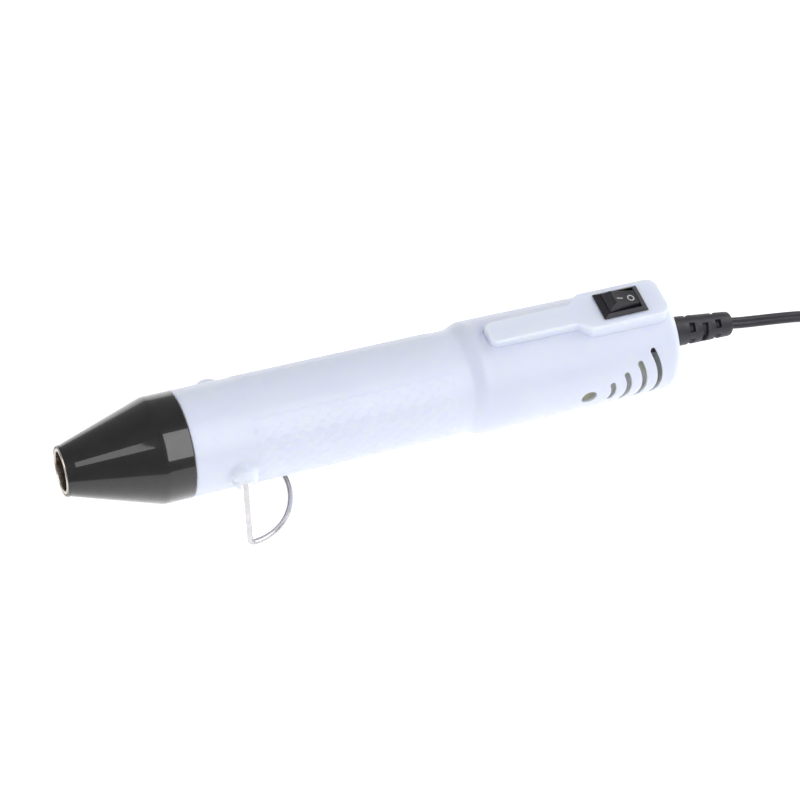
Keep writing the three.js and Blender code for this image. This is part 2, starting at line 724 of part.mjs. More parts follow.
/** Plan outline of the switch panel: a narrow strip that swells round the switch. */
function panelOutline(inset) {
  const front = BODY_LENGTH - PANEL_FRONT_FROM_REAR + inset;
  const rear = BODY_LENGTH - PANEL_REAR_MARGIN - inset;
  const strip = PANEL_STRIP_HALF_WIDTH - inset;
  const wide = PANEL_REAR_HALF_WIDTH - inset;
  const neck = BODY_LENGTH - PANEL_NECK_FROM_REAR;
  const neckEnd = neck + PANEL_NECK_LENGTH;
  const bend = PANEL_NECK_LENGTH / 2;
  const corner = PANEL_CORNER;
  const rearCorner = PANEL_CORNER * 1.5;
  const outline = new THREE.Shape();
  outline.moveTo(front + corner, -strip);
  outline.lineTo(neck, -strip);
  outline.bezierCurveTo(neck + bend, -strip, neckEnd - bend, -wide, neckEnd, -wide);
  outline.lineTo(rear - rearCorner, -wide);
  outline.quadraticCurveTo(rear, -wide, rear, -wide + rearCorner);
  outline.lineTo(rear, wide - rearCorner);
  outline.quadraticCurveTo(rear, wide, rear - rearCorner, wide);
  outline.lineTo(neckEnd, wide);
  outline.bezierCurveTo(neckEnd - bend, wide, neck + bend, strip, neck, strip);
  outline.lineTo(front + corner, strip);
  outline.quadraticCurveTo(front, strip, front, strip - corner);
  outline.lineTo(front, -strip + corner);
  outline.quadraticCurveTo(front, -strip, front + corner, -strip);
  return outline;
}

/** Raised panel, lofted from its foot inside the wall up to its flat top with bevelled sides. */
function switchPanelGeometry() {
  const levels = [
    [panelFoot, 0],
    [panelHeight - PANEL_BEVEL, 0],
    [panelHeight - PANEL_BEVEL * 0.3, PANEL_BEVEL * 0.3],
    [panelHeight, PANEL_BEVEL],
  ];
  const rings = levels.map(([height, inset]) =>
    panelOutline(inset)
      .getPoints(4)
      .slice(0, -1)
      .map((point) => vector(point.x, point.y, height)),
  );
  const count = rings[0].length;
  const top = rings[rings.length - 1].map((p) => new THREE.Vector2(p.x, p.y));
  const caps = THREE.ShapeUtils.triangulateShape(top, []);
  const geometry = loft(rings);
  const sideFaces = (rings.length - 1) * count * 6;
  const faces = Array.from(geometry.index.array.slice(0, sideFaces));
  const last = (rings.length - 1) * count;
  for (const [a, b, c] of caps) faces.push(a, c, b, last + a, last + b, last + c);
  geometry.setIndex(faces);
  return geometry;
}

/** Side boss that carries one end of the wire stand, with its crowned cap. */
function bossGeometry(side) {
  const root = BARREL_FRONT_RADIUS - HOUSING_WALL * 0.8;
  const profile = [
    [root, 0],
    [root, BOSS_RADIUS],
    [bossReach - BOSS_CROWN, BOSS_RADIUS],
    [bossReach - BOSS_CROWN * 0.45, BOSS_RADIUS - BOSS_CROWN * 0.45],
    [bossReach, BOSS_RADIUS - BOSS_CROWN * 1.5],
    [bossReach, 0],
  ];
  const boss = turned(profile, 32).rotateZ((side * Math.PI) / 2);
  return boss.translate(BOSS_STATION, 0, 0);
}

/** Room for a leg to swing in a boss: a wedge between its two limits, one wire thick. */
function bossSwingCut(side) {
  const half = BAIL_WIRE_RADIUS + SLIDE_GAP;
  const reach = BOSS_RADIUS * 1.6;
  const forward = -rad(BAIL_FOLD_DEG + BAIL_SLOT_SPARE_DEG);
  const rearward = rad(BAIL_REAR_DEG + BAIL_SLOT_SPARE_DEG);
  const downAt = (angle) => new THREE.Vector2(Math.sin(angle), -Math.cos(angle));
  const outline = new THREE.Shape();
  const corner = (angle, sign) => downAt(angle + (sign * Math.PI) / 2).multiplyScalar(half);
  const edge = (angle, sign) => downAt(angle).multiplyScalar(reach).add(corner(angle, sign));
  const start = corner(forward, -1);
  outline.moveTo(start.x, start.y);
  const frontTip = edge(forward, -1);
  outline.lineTo(frontTip.x, frontTip.y);
  for (let i = 0; i <= 6; i++) {
    const tip = downAt(forward + ((rearward - forward) * i) / 6).multiplyScalar(reach * 1.15);
    outline.lineTo(tip.x, tip.y);
  }
  const rearTip = edge(rearward, 1);
  outline.lineTo(rearTip.x, rearTip.y);
  const end = corner(rearward, 1);
  outline.lineTo(end.x, end.y);
  for (let i = 1; i < 6; i++) {
    const from = rearward + Math.PI / 2;
    const to = forward - Math.PI / 2 + 2 * Math.PI;
    const back = downAt(from + ((to - from) * i) / 6).multiplyScalar(half);
    outline.lineTo(back.x, back.y);
  }
  const wedge = extruded(outline, 2 * half);
  wedge.rotateX(Math.PI / 2).translate(0, half, 0);
  return wedge.translate(BOSS_STATION, side * bailHalfWidth, 0);
}

/** Notch in the boss's cap where the top of the wire shows. */
function bossNotchCut(side) {
  const half = BOSS_NOTCH_WIDTH / 2;
  const notch = block([-half, 0, -2 * BOSS_RADIUS], [half, side * 2 * BAIL_DEPTH, 0]);
  notch.rotateY(-rad(TOOL_TILT_DEG));
  return notch.translate(BOSS_STATION, side * bailHalfWidth, 0);
}

const ventCutStart = gripFrontRadius / 3;

/** Slot along an arc round the vent hole, cut straight through one side. */
function ventArcCut(radius, side) {
  const inner = radius - VENT_SLOT_WIDTH / 2;
  const outer = radius + VENT_SLOT_WIDTH / 2;
  const half = rad(VENT_HALF_ANGLE_DEG) - VENT_SLOT_WIDTH / 2 / radius;
  const outline = new THREE.Shape();
  outline.absarc(0, 0, outer, -half, half);
  const tip = [radius * Math.cos(half), radius * Math.sin(half)];
  outline.absarc(...tip, VENT_SLOT_WIDTH / 2, half, half + Math.PI);
  outline.absarc(0, 0, inner, half, -half, true);
  outline.absarc(tip[0], -tip[1], VENT_SLOT_WIDTH / 2, -half + Math.PI, -half + 2 * Math.PI);
  const depth = gripFrontRadius;
  const slot = extruded(outline, depth, 5);
  slot.rotateX(Math.PI / 2);
  return slot.translate(ventStation, side > 0 ? depth + ventCutStart : -ventCutStart, -VENT_DROP);
}

function ventCuts(side) {
  const reach = gripFrontRadius + 2;
  const ends = side > 0 ? [ventCutStart, reach] : [-reach, -ventCutStart];
  const hole = bar("y", ...ends, VENT_HOLE_RADIUS, [ventStation, -VENT_DROP], 20);
  const arcs = Array.from({ length: VENT_ARC_COUNT }, (_, i) =>
    ventArcCut(VENT_FIRST_ARC_RADIUS + i * VENT_ARC_PITCH, side),
  );
  return [hole, ...arcs];
}

function housingShell() {
  const front = seamStation + SEAT_GAP / 2;
  const rear = BODY_LENGTH;
  const fillet = REAR_FILLET;
  const filletSteps = 5;
  const roundRear = Array.from({ length: filletSteps + 1 }, (_, i) => {
    const angle = (Math.PI / 2) * (1 - i / filletSteps);
    const centre = [rear - fillet, gripRearRadius - fillet];
    return [centre[0] + fillet * Math.cos(angle), centre[1] + fillet * Math.sin(angle)];
  });
  return turned([
    [front, BARREL_FRONT_RADIUS],
    [stepStation, barrelRearRadius],
    [stepStation + STEP_RAMP_LENGTH * 0.3, lerp(barrelRearRadius, gripFrontRadius, 0.15)],
    [stepStation + STEP_RAMP_LENGTH * 0.75, lerp(barrelRearRadius, gripFrontRadius, 0.85)],
    [gripStation, gripFrontRadius],
    ...roundRear,
    [rear, RELIEF_NECK_RADIUS + SEAT_GAP],
    [rear - REAR_WALL, RELIEF_NECK_RADIUS + SEAT_GAP],
    ...hollowProfile().reverse(),
  ]);
}

/** Inner line of the housing from its open front to its rear wall. */
function hollowProfile() {
  const rear = BODY_LENGTH - REAR_WALL;
  const corner = 1.5;
  return [
    [seamStation + SEAT_GAP / 2, barrelFrontBore],
    [stepStation, barrelBore],
    [gripStation, gripFrontRadius - HOUSING_WALL],
    [rear - corner, gripRearRadius - HOUSING_WALL],
    [rear, gripRearRadius - HOUSING_WALL - corner],
  ];
}

function housingGeometry() {
  const switchHalf = [SWITCH_BODY_LENGTH / 2 + SEAT_GAP, SWITCH_BODY_WIDTH / 2 + SEAT_GAP];
  const switchCut = block(
    [switchStation - switchHalf[0], -switchHalf[1], panelFoot],
    [switchStation + switchHalf[0], switchHalf[1], panelHeight + 2],
  );
  const profile = hollowProfile();
  const cavity = turned([[profile[0][0], 0], ...profile, [profile[profile.length - 1][0], 0]]);
  const panel = carve(switchPanelGeometry(), { cut: [cavity] });
  const boreEnd = bossReach - 2.5;
  const pinBores = bar("y", -boreEnd, boreEnd, BAIL_WIRE_RADIUS + SEAT_GAP, [BOSS_STATION, 0], 16);
  const sides = [-1, 1];
  const bossCuts = sides.flatMap((side) => [bossSwingCut(side), bossNotchCut(side)]);
  return carve(housingShell(), {
    add: [panel, ...sides.map(bossGeometry)],
    cut: [switchCut, pinBores, ...bossCuts, ...sides.flatMap(ventCuts)],
  });
}

// Switch

const panelTop = panelHeight + SEAT_GAP;
const bezelTop = panelTop + BEZEL_THICKNESS;
const rockerPivot = panelHeight - ROCKER_PIVOT_DROP;
const rockerEndRadius = Math.hypot(ROCKER_TOP_LENGTH / 2, ROCKER_HEIGHT);
const rockerSweep = rockerEndRadius + SEAT_GAP;

function switchBodyGeometry() {
  const half = [BEZEL_LENGTH / 2, BEZEL_WIDTH / 2];
  const rim = [half[0] - BEZEL_SLOPE[0], half[1] - BEZEL_SLOPE[1]];
  const level = (height, [along, across]) => [
    vector(switchStation - along, -across, height),
    vector(switchStation + along, -across, height),
    vector(switchStation + along, across, height),
    vector(switchStation - along, across, height),
  ];
  const bezel = loft([level(panelTop, half), level(panelTop + BEZEL_EDGE, half), level(bezelTop, rim)]);
  const bottom = panelHeight - SWITCH_BODY_DEPTH;
  const bodyHalf = [SWITCH_BODY_LENGTH / 2, SWITCH_BODY_WIDTH / 2];
  const body = block(
    [switchStation - bodyHalf[0], -bodyHalf[1], bottom],
    [switchStation + bodyHalf[0], bodyHalf[1], panelTop + 0.4],
  );
  const slotSide = ROCKER_WIDTH / 2 + SEAT_GAP;
  const slotEnd = (height) => Math.sqrt(rockerSweep ** 2 - (height - rockerPivot) ** 2);
  const slotMiddle = (panelTop + bezelTop) / 2;
  const slot = loft([
    level(panelHeight - ROCKER_SLOT_DEPTH, [rockerSweep, slotSide]),
    level(rockerPivot, [rockerSweep, slotSide]),
    level(slotMiddle, [slotEnd(slotMiddle), slotSide]),
    level(bezelTop, [slotEnd(bezelTop), slotSide]),
    level(bezelTop + 1, [slotEnd(bezelTop), slotSide]),
  ]);
  const holeEnd = bodyHalf[1] + 1;
  const holeRadius = ROCKER_PIN_RADIUS + SEAT_GAP;
  const pinHole = bar("y", -holeEnd, holeEnd, holeRadius, [switchStation, rockerPivot], 16);
  return carve(bezel, { add: [body], cut: [slot, pinHole] });
}

/** Rocker, level: a dipped top, ends struck round the pivot, sides that lean in, and two pins. */
function switchRockerGeometry() {
  const top = ROCKER_TOP_LENGTH / 2;
  const bottom = -ROCKER_SLOT_DEPTH * 0.55;
  const topAngle = Math.atan2(ROCKER_HEIGHT, top);
  const endAt = (angle) => [rockerEndRadius * Math.cos(angle), rockerEndRadius * Math.sin(angle)];
  const outline = new THREE.Shape();
  outline.moveTo(-top, ROCKER_HEIGHT);
  for (const share of [0.5, 0, -0.4]) {
    const [along, up] = endAt(topAngle * share);
    outline.lineTo(-along, up);
  }
  outline.lineTo(-top * 0.5, bottom);
  outline.lineTo(top * 0.5, bottom);
  for (const share of [-0.4, 0, 0.5]) outline.lineTo(...endAt(topAngle * share));
  outline.lineTo(top, ROCKER_HEIGHT);
  outline.quadraticCurveTo(0, ROCKER_HEIGHT - 2 * ROCKER_DIP, -top, ROCKER_HEIGHT);
  const body = extruded(outline, ROCKER_WIDTH, 6);
  body.rotateX(Math.PI / 2).translate(0, ROCKER_WIDTH / 2, 0);
  const lean = Math.atan2((ROCKER_WIDTH - ROCKER_TOP_WIDTH) / 2, ROCKER_HEIGHT - ROCKER_PIN_RADIUS);
  const shavings = [-1, 1].map((side) => {
    const shaving = block([-2 * top, 0, 0], [2 * top, side * ROCKER_WIDTH, 3 * ROCKER_HEIGHT]);
    return shaving.rotateX(side * lean).translate(0, (side * ROCKER_WIDTH) / 2, ROCKER_PIN_RADIUS);
  });
  const pinReach = SWITCH_BODY_WIDTH / 2 - 0.1;
  const pins = bar("y", -pinReach, pinReach, ROCKER_PIN_RADIUS, [0, 0], 12);
  return carve(body, { add: [pins], cut: shavings });
}

function switchTerminalGeometry(side) {
  const top = panelHeight - SWITCH_BODY_DEPTH - SEAT_GAP;
  const middle = switchStation + side * TERMINAL_OFFSET;
  return block(
    [middle - TERMINAL_THICKNESS / 2, -TERMINAL_WIDTH / 2, top - TERMINAL_LENGTH],
    [middle + TERMINAL_THICKNESS / 2, TERMINAL_WIDTH / 2, top],
  );
}

// Wire stand

const rearContact = {
  station: BODY_LENGTH - REAR_FILLET,
  drop: gripRearRadius - REAR_FILLET,
};
const tilt = rad(TOOL_TILT_DEG);

/** Height of the tool's axis above the table, carried back to the mouth. */
const axisHeightAtMouth =
  rearContact.station * Math.sin(tilt) + rearContact.drop * Math.cos(tilt) + REAR_FILLET;

/** Leg length that brings the foot down to the table together with the rear rim. */
const bailLegLength = axisHeightAtMouth - BOSS_STATION * Math.sin(tilt) - BAIL_WIRE_RADIUS;

/** Centre line of the bail: pin, leg, half-ring foot, leg, pin. Down is square to the table. */
function bailPoints() {
  const down = vector(Math.sin(tilt), 0, -Math.cos(tilt));
  const back = vector(Math.cos(tilt), 0, Math.sin(tilt));
  const pivot = vector(BOSS_STATION, 0, 0);
  const bend = BAIL_BEND_RADIUS;
  const half = (side) => {
    const out = vector(0, side, 0);
    const pinStart = pivot.clone().addScaledVector(out, bailPinInset);
    const shoulder = pivot
      .clone()
      .addScaledVector(out, bailHalfWidth - bend * 0.6)
      .addScaledVector(down, bend * 0.6);
    const ankle = pivot
      .clone()
      .addScaledVector(out, bailHalfWidth)
      .addScaledVector(down, bailLegLength - bend)
      .addScaledVector(back, bend);
    return [
      pinStart,
      ...arcPoints(shoulder, down.clone().negate(), out, bend * 0.6, 0, Math.PI / 2, 4),
      ...arcPoints(ankle, back.clone().negate(), down, bend, 0, Math.PI / 2, 5),
    ];
  };
  const footCentre = pivot.clone().addScaledVector(down, bailLegLength).addScaledVector(back, bend);
  const depth = bailHalfWidth - bend;
  const steps = 28;
  const foot = Array.from({ length: steps - 1 }, (_, i) => {
    const angle = ((i + 1) / steps) * Math.PI;
    return footCentre
      .clone()
      .addScaledVector(back, depth * Math.sin(angle))
      .addScaledVector(vector(0, 1, 0), -bailHalfWidth * Math.cos(angle));
  });
  return [...half(-1), ...foot, ...half(1).reverse()];
}

// Leads inside the housing

/** Station just inside the strain relief's flange, where the cord's two cores come out. */
const cordEntry = BODY_LENGTH - REAR_WALL - RELIEF_FLANGE_LENGTH - 2 * SEAT_GAP;

/** Smooth lead through a few points, stepped evenly. */
function leadGeometry(points, steps) {
  const curve = new THREE.CatmullRomCurve3(points, false, "centripetal");
  return tube(curve.getPoints(steps), LEAD_RADIUS, LEAD_RADIUS, 6);
}

/** Heater lead: from the switch or the cord, past the motor beside the shroud, to the element. */
function heaterLeadPoints(side) {
  const run = side * leadRunRadius;
  const start = side < 0 ? switchLeadStart(-1) : vector(cordEntry, 3, -2);
  const firstStep = side < 0 ? vector(0, 0, -1.5) : vector(-2, 0, 0);
  const turnIn = shroudStart + 2;
  return [
    start,
    start.clone().add(firstStep),
    vector(start.x - 7, start.y + side * 4, start.z - 3),
    vector(shroudEnd + 34, run * 0.72, 0),
    vector(shroudEnd + 16, run * 0.93, 0),
    vector(shroudEnd + 4, run, 0),
    vector((shroudEnd + turnIn) / 2, run, 0),
    vector(turnIn + 3, run, 0),
    vector(turnIn, run - side * 2.4, 0),
    vector(turnIn - 0.6, run - side * 6, 0),
    vector(spiderStart + SPIDER_THICKNESS + SEAT_GAP + LEAD_RADIUS * 1.5, side * LEAD_END_OFFSET, 0),
  ];
}

function switchLeadStart(side) {
  const height = panelHeight - SWITCH_BODY_DEPTH - TERMINAL_LENGTH - SEAT_GAP * 2 - LEAD_RADIUS;
  return vector(switchStation + side * TERMINAL_OFFSET, 0, height);
}

function cordTailPoints() {
  const start = vector(cordEntry, -2, 2);
  const end = switchLeadStart(1);
  const underEnd = end.clone().setZ(end.z - 1.5);
  return [start, vector(start.x - 2, -2, 2), vector((start.x + end.x) / 2, -0.8, end.z - 3), underEnd, end];
}

// Strain relief

/** Flanged plug in the rear wall with a tapered, slotted sleeve that droops with the cord. */
function strainReliefGeometry() {
  const rear = BODY_LENGTH;
  const inside = rear - REAR_WALL - SEAT_GAP;
  const plug = turned(
    [
      [inside - RELIEF_FLANGE_LENGTH, 0],
      [inside - RELIEF_FLANGE_LENGTH, RELIEF_FLANGE_RADIUS],
      [inside, RELIEF_FLANGE_RADIUS],
      [inside, RELIEF_NECK_RADIUS],
      [rear + 3, RELIEF_NECK_RADIUS],
      [rear + 3, 0],
    ],
    32,
  );
  const base = SEAT_GAP + 0.9;
  const radiusAt = (along) => lerp(RELIEF_BASE_RADIUS, RELIEF_END_RADIUS, along / RELIEF_LENGTH);
  const sleeve = turned(
    [
      [base, 0],
      [base, RELIEF_BASE_RADIUS],
      [RELIEF_LENGTH - RELIEF_CHAMFER, radiusAt(RELIEF_LENGTH - RELIEF_CHAMFER)],
      [RELIEF_LENGTH, RELIEF_END_RADIUS - RELIEF_CHAMFER],
      [RELIEF_LENGTH, 0],
    ],
    32,
  );
  const windows = [];
  for (let row = 0; row < 3; row++) {
    const middle = RELIEF_FIRST_ROW + row * RELIEF_ROW_PITCH;
    const outer = RELIEF_BASE_RADIUS + 2;
    const floor = radiusAt(middle) - RELIEF_WINDOW_DEPTH;
    const band = [middle - RELIEF_WINDOW_WIDTH / 2, middle + RELIEF_WINDOW_WIDTH / 2];
    const crossed = row % 2 === 0;
    const count = crossed ? 4 : 2;
    const halfAngle = crossed ? RELIEF_CROSSED_HALF_DEG : RELIEF_SIDE_HALF_DEG;
    for (let i = 0; i < count; i++) {
      const centre = RELIEF_TURN_DEG + (crossed ? 45 : 0) + (360 / count) * i;
      windows.push(sector(band, floor, outer, centre, halfAngle));
    }
  }
  const slotted = carve(sleeve, { cut: windows });
  slotted.rotateY(rad(RELIEF_DROOP_DEG)).translate(rear, 0, 0);
  return carve(plug, { add: [slotted] });
}

/** Part of a ring round the axis, centred on an angle counted from +y towards +z. */
function sector(band, inner, outer, centreDeg, halfAngleDeg) {
  const outline = new THREE.Shape();
  outline.absarc(0, 0, outer, -rad(halfAngleDeg), rad(halfAngleDeg));
  outline.absarc(0, 0, inner, rad(halfAngleDeg), -rad(halfAngleDeg), true);
  const wedge = extruded(outline, band[1] - band[0], 6);
  wedge.applyMatrix4(new THREE.Matrix4().set(0, 0, 1, band[0], 1, 0, 0, 0, 0, 1, 0, 0, 0, 0, 0, 1));
  return wedge.rotateX(rad(centreDeg));
}

// Build the tool along its own axis

const tool = new THREE.Group();

function addPiece(parent, name, geometry, material) {
  const solid = closedSolid(geometry);
  solid.computeVertexNormals();
  const mesh = new THREE.Mesh(solid, material);
  mesh.name = name;
  parent.add(mesh);
  return mesh;
}

addPiece(tool, "housing", housingGeometry(), shellWhite);
addPiece(tool, "nozzle", nozzleGeometry(), nozzleEnamel);
addPiece(tool, "heater_tube", heaterTubeGeometry(), brightSteel);
addPiece(tool, "heater_ring", heaterRingGeometry(), phenolic);
addPiece(tool, "mica_tube", micaTubeGeometry(), micaSheet);
addPiece(tool, "heater_card_level", heaterCardGeometry(true), micaSheet);
addPiece(tool, "heater_card_upright", heaterCardGeometry(false), micaSheet);
addPiece(tool, "heater_spider", heaterSpiderGeometry(), micaSheet);
addPiece(tool, "heating_coil", tube(heatingCoilPoints(), COIL_WIRE_RADIUS, COIL_WIRE_RADIUS, 5), heatWire);
addPiece(tool, "thermal_cutout", thermalCutoutGeometry(), canSteel);
addPiece(tool, "thermal_fuse", thermalFuseGeometry(), brass);
addPiece(tool, "motor_carrier", motorCarrierGeometry(), carrierPlastic);
addPiece(tool, "fan", fanGeometry(), fanPlastic);
addPiece(tool, "motor_shaft", motorShaftGeometry(), brightSteel);
addPiece(tool, "motor_can", motorCanGeometry(), canSteel);
addPiece(tool, "motor_end_cap", motorEndCapGeometry(), capPlastic);
addPiece(tool, "motor_tab_near", motorTabGeometry(-1), brass);
addPiece(tool, "motor_tab_far", motorTabGeometry(1), brass);
addPiece(tool, "rectifier_board", rectifierBoardGeometry(), boardResin);
for (let i = 0; i < 4; i++) addPiece(tool, `diode_${i + 1}`, diodeGeometry(i), diodeBlack);
addPiece(tool, "smoothing_capacitor", capacitorGeometry(), capacitorBlue);
addPiece(tool, "switch_body", switchBodyGeometry(), switchBlack);
const rocker = addPiece(tool, "switch_rocker", switchRockerGeometry(), switchBlack);
rocker.position.set(switchStation, 0, rockerPivot);
rocker.rotation.y = rad(ROCKER_TILT_DEG);
addPiece(tool, "switch_terminal_front", switchTerminalGeometry(-1), brass);
addPiece(tool, "switch_terminal_rear", switchTerminalGeometry(1), brass);
addPiece(tool, "heater_lead_near", leadGeometry(heaterLeadPoints(-1), 40), leadRed);
addPiece(tool, "heater_lead_far", leadGeometry(heaterLeadPoints(1), 40), leadWhite);
addPiece(tool, "cord_tail", leadGeometry(cordTailPoints(), 12), leadWhite);
addPiece(tool, "bail", tube(bailPoints(), BAIL_WIRE_RADIUS, BAIL_WIRE_RADIUS, 8), brightSteel);
addPiece(tool, "strain_relief", strainReliefGeometry(), cordBlack);

// Stand the tool on the table, with the middle of its box over the origin

tool.rotation.y = tilt;
tool.position.z = axisHeightAtMouth;
tool.updateMatrixWorld(true);
const toolBox = new THREE.Box3().setFromObject(tool, true);
tool.position.x = -(toolBox.min.x + toolBox.max.x) / 2;
tool.position.z -= toolBox.min.z;
tool.updateMatrixWorld(true);

// Cord: one free stretch, then a flat coil of two layers, then the plug

const droop = rad(RELIEF_DROOP_DEG);
const reliefReach = RELIEF_LENGTH + SEAT_GAP;
const reliefEnd = tool.localToWorld(
  vector(BODY_LENGTH + reliefReach * Math.cos(droop), 0, -reliefReach * Math.sin(droop)),
);
const layRadius = CORD_THICKNESS / 2 + 0.05;
const turnPitch = CORD_WIDTH + COIL_TURN_GAP;
const layerPitch = CORD_THICKNESS + COIL_TURN_GAP;
const outerTurnRadius = COIL_MID_RADIUS + (COIL_LAYER_TURNS / 2) * turnPitch;
const coilCentre = vector(reliefEnd.x + COIL_CENTRE_FROM_EXIT[0], COIL_CENTRE_FROM_EXIT[1], 0);
const coilTop = layRadius + layerPitch + CORD_THICKNESS / 2;
const plugHeight = coilTop + SEAT_GAP + PLUG_THICKNESS / 2;

/** Route of the free stretch: offsets from the strain relief's end, and heights above the table. */
const FREE_ROUTE = [
  [0, 0, null],
  [6, -0.2, 13.1],
  [14, -0.6, 11.2],
  [24, -1.2, 9],
  [34, -2.1, 6.9],
  [40.4, -3.1, 5.4],
  [44.7, -4.6, 4.4],
  [48.6, -6.9, 3.45],
  [52.1, -9.8, 2.65],
  [57.1, -14.8, 1.85],
];

function cordCurve() {
  const points = FREE_ROUTE.map(([along, y, height]) =>
    vector(reliefEnd.x + along, y, height === null ? reliefEnd.z : height),
  );
  const entry = coilPoints()[0];
  const inward = entry.clone().sub(points[points.length - 1]).setZ(0).normalize();
  points.push(entry.addScaledVector(inward, -SEAT_GAP));
  return new THREE.CatmullRomCurve3(points, false, "centripetal");
}

function cordGeometry() {
  const section = new THREE.Shape();
  const sides = 12;
  for (let k = 0; k < sides; k++) {
    const angle = ((k + 0.5) / sides) * 2 * Math.PI;
    const point = [(CORD_WIDTH / 2) * Math.cos(angle), (CORD_THICKNESS / 2) * Math.sin(angle)];
    if (k === 0) section.moveTo(...point);
    else section.lineTo(...point);
  }
  section.closePath();
  return new THREE.ExtrudeGeometry(section, { steps: 14, extrudePath: cordCurve(), bevelEnabled: false });
}

/** How many turn pitches in from the outer turn the cord lies after a number of turns. */
function turnsInward(turns) {
  const inmost = COIL_LAYER_TURNS;
  if (turns < inmost) return turns;
  const swung = inmost + 0.5;
  const rest = inmost - 1.5;
  if (turns < swung) return lerp(inmost, rest, (turns - inmost) / 0.5);
  return rest - (turns - swung);
}

/** Height that the coil gains at an angle where it passes over the tie. */
function humpAt(angle) {
  const away = Math.abs(Math.atan2(Math.sin(angle - rad(TIE_DEG)), Math.cos(angle - rad(TIE_DEG))));
  const share = 1 - smoothstep(away, 0, rad(TIE_HUMP_DEG));
  return (TIE_THICKNESS + SEAT_GAP) * share;
}

function onCoil(radius, angle, height) {
  return vector(coilCentre.x + radius * Math.cos(angle), coilCentre.y + radius * Math.sin(angle), height);
}

/** Rise of the cord's end from the upper layer to the plug, at a length past the coil's last turn. */
function runOutRise(length) {
  const bend = (RUN_OUT_RADIUS * Math.PI) / 2;
  const rise = plugHeight - layRadius - layerPitch;
  return rise * smoothstep(length, -RUN_OUT_RISE_BEFORE, bend);
}

/** Coil: in along the lower layer, up at the innermost turn, out along the upper layer, then over it. */
function coilPoints() {
  const turnCount = 2 * COIL_LAYER_TURNS - 0.5;
  const steps = Math.round(turnCount * COIL_STEPS_PER_TURN);
  const start = rad(COIL_ENTRY_DEG);
  const radiusAfter = (turns) => outerTurnRadius - turnPitch * turnsInward(turns);
  const lastRadius = radiusAfter(steps / COIL_STEPS_PER_TURN);
  const points = [];
  for (let i = 0; i <= steps; i++) {
    const turns = i / COIL_STEPS_PER_TURN;
    const climb = smoothstep(turns, COIL_LAYER_TURNS - 0.5, COIL_LAYER_TURNS);
    const angle = start + turns * 2 * Math.PI;
    const left = ((steps - i) / COIL_STEPS_PER_TURN) * 2 * Math.PI * lastRadius;
    const height = layRadius + layerPitch * climb + humpAt(angle) + runOutRise(-left);
    points.push(onCoil(radiusAfter(turns), angle, height));
  }
  const into = vector(-Math.sin(start), Math.cos(start), 0);
  points.unshift(points[0].clone().addScaledVector(into, -CORD_WIDTH));
  const leaving = start + (steps / COIL_STEPS_PER_TURN) * 2 * Math.PI;
  const bendCentre = onCoil(lastRadius - RUN_OUT_RADIUS, leaving, 0);
  for (let i = 1; i <= RUN_OUT_STEPS; i++) {
    const turn = (i / RUN_OUT_STEPS) * (Math.PI / 2);
    const across = vector(Math.cos(leaving + turn), Math.sin(leaving + turn), 0);
    const height = layRadius + layerPitch + runOutRise(RUN_OUT_RADIUS * turn);
    points.push(bendCentre.clone().addScaledVector(across, RUN_OUT_RADIUS).setZ(height));
  }
  return points;
}

function heading(points) {
  const [before, last] = points.slice(-2);
  return last.clone().sub(before).setZ(0).normalize();
}

/** Least distance between the surfaces of turns that are not next to each other along the tube. */
function leastGap(points, section, skip) {
  let least = Infinity;
  for (let i = 0; i < points.length; i++) {
    for (let j = i + skip; j < points.length; j++) {
      const flat = Math.hypot(points[i].x - points[j].x, points[i].y - points[j].y);
      const high = Math.abs(points[i].z - points[j].z);
      least = Math.min(least, Math.max(flat - section[0], high - section[1]));
    }
  }
  return least;
}

/** Flat tie round the coil's turns: a rounded band, its flat bottom on the table. */
function coilTieGeometry(points) {
  const angle = rad(TIE_DEG);
  const near = points.filter((p) => {
    const at = Math.atan2(p.y - coilCentre.y, p.x - coilCentre.x);
    return Math.abs(at - angle) < (1.1 * Math.PI) / COIL_STEPS_PER_TURN;
  });
  const radii = near.map((p) => Math.hypot(p.x - coilCentre.x, p.y - coilCentre.y));
  const room = CORD_WIDTH / 2 + SEAT_GAP;
  const inner = [Math.min(...radii) - room, Math.max(...radii) + room];
  const bottom = 0.05 + TIE_THICKNESS;
  const top = Math.max(...near.map((p) => p.z)) + CORD_THICKNESS / 2 + SEAT_GAP;
  const band = (grow) => {
    const shape = new THREE.Shape();
    const [x0, x1, y0, y1] = [inner[0] - grow, inner[1] + grow, bottom - grow, top + grow];
    const corner = TIE_CORNER + grow - TIE_THICKNESS;
    shape.moveTo(x0 + corner, y0);
    shape.lineTo(x1 - corner, y0);
    shape.quadraticCurveTo(x1, y0, x1, y0 + corner);
    shape.lineTo(x1, y1 - corner);
    shape.quadraticCurveTo(x1, y1, x1 - corner, y1);
    shape.lineTo(x0 + corner, y1);
    shape.quadraticCurveTo(x0, y1, x0, y1 - corner);
    shape.lineTo(x0, y0 + corner);
    shape.quadraticCurveTo(x0, y0, x0 + corner, y0);
    return shape;
  };
  const outline = band(TIE_THICKNESS);
  outline.holes.push(band(0));
  const tie = extruded(outline, TIE_WIDTH, 4);
  tie.translate(0, 0, -TIE_WIDTH / 2).rotateX(Math.PI / 2).rotateZ(angle);
  return tie.translate(coilCentre.x, coilCentre.y, 0);
}

const plugAxis = {};

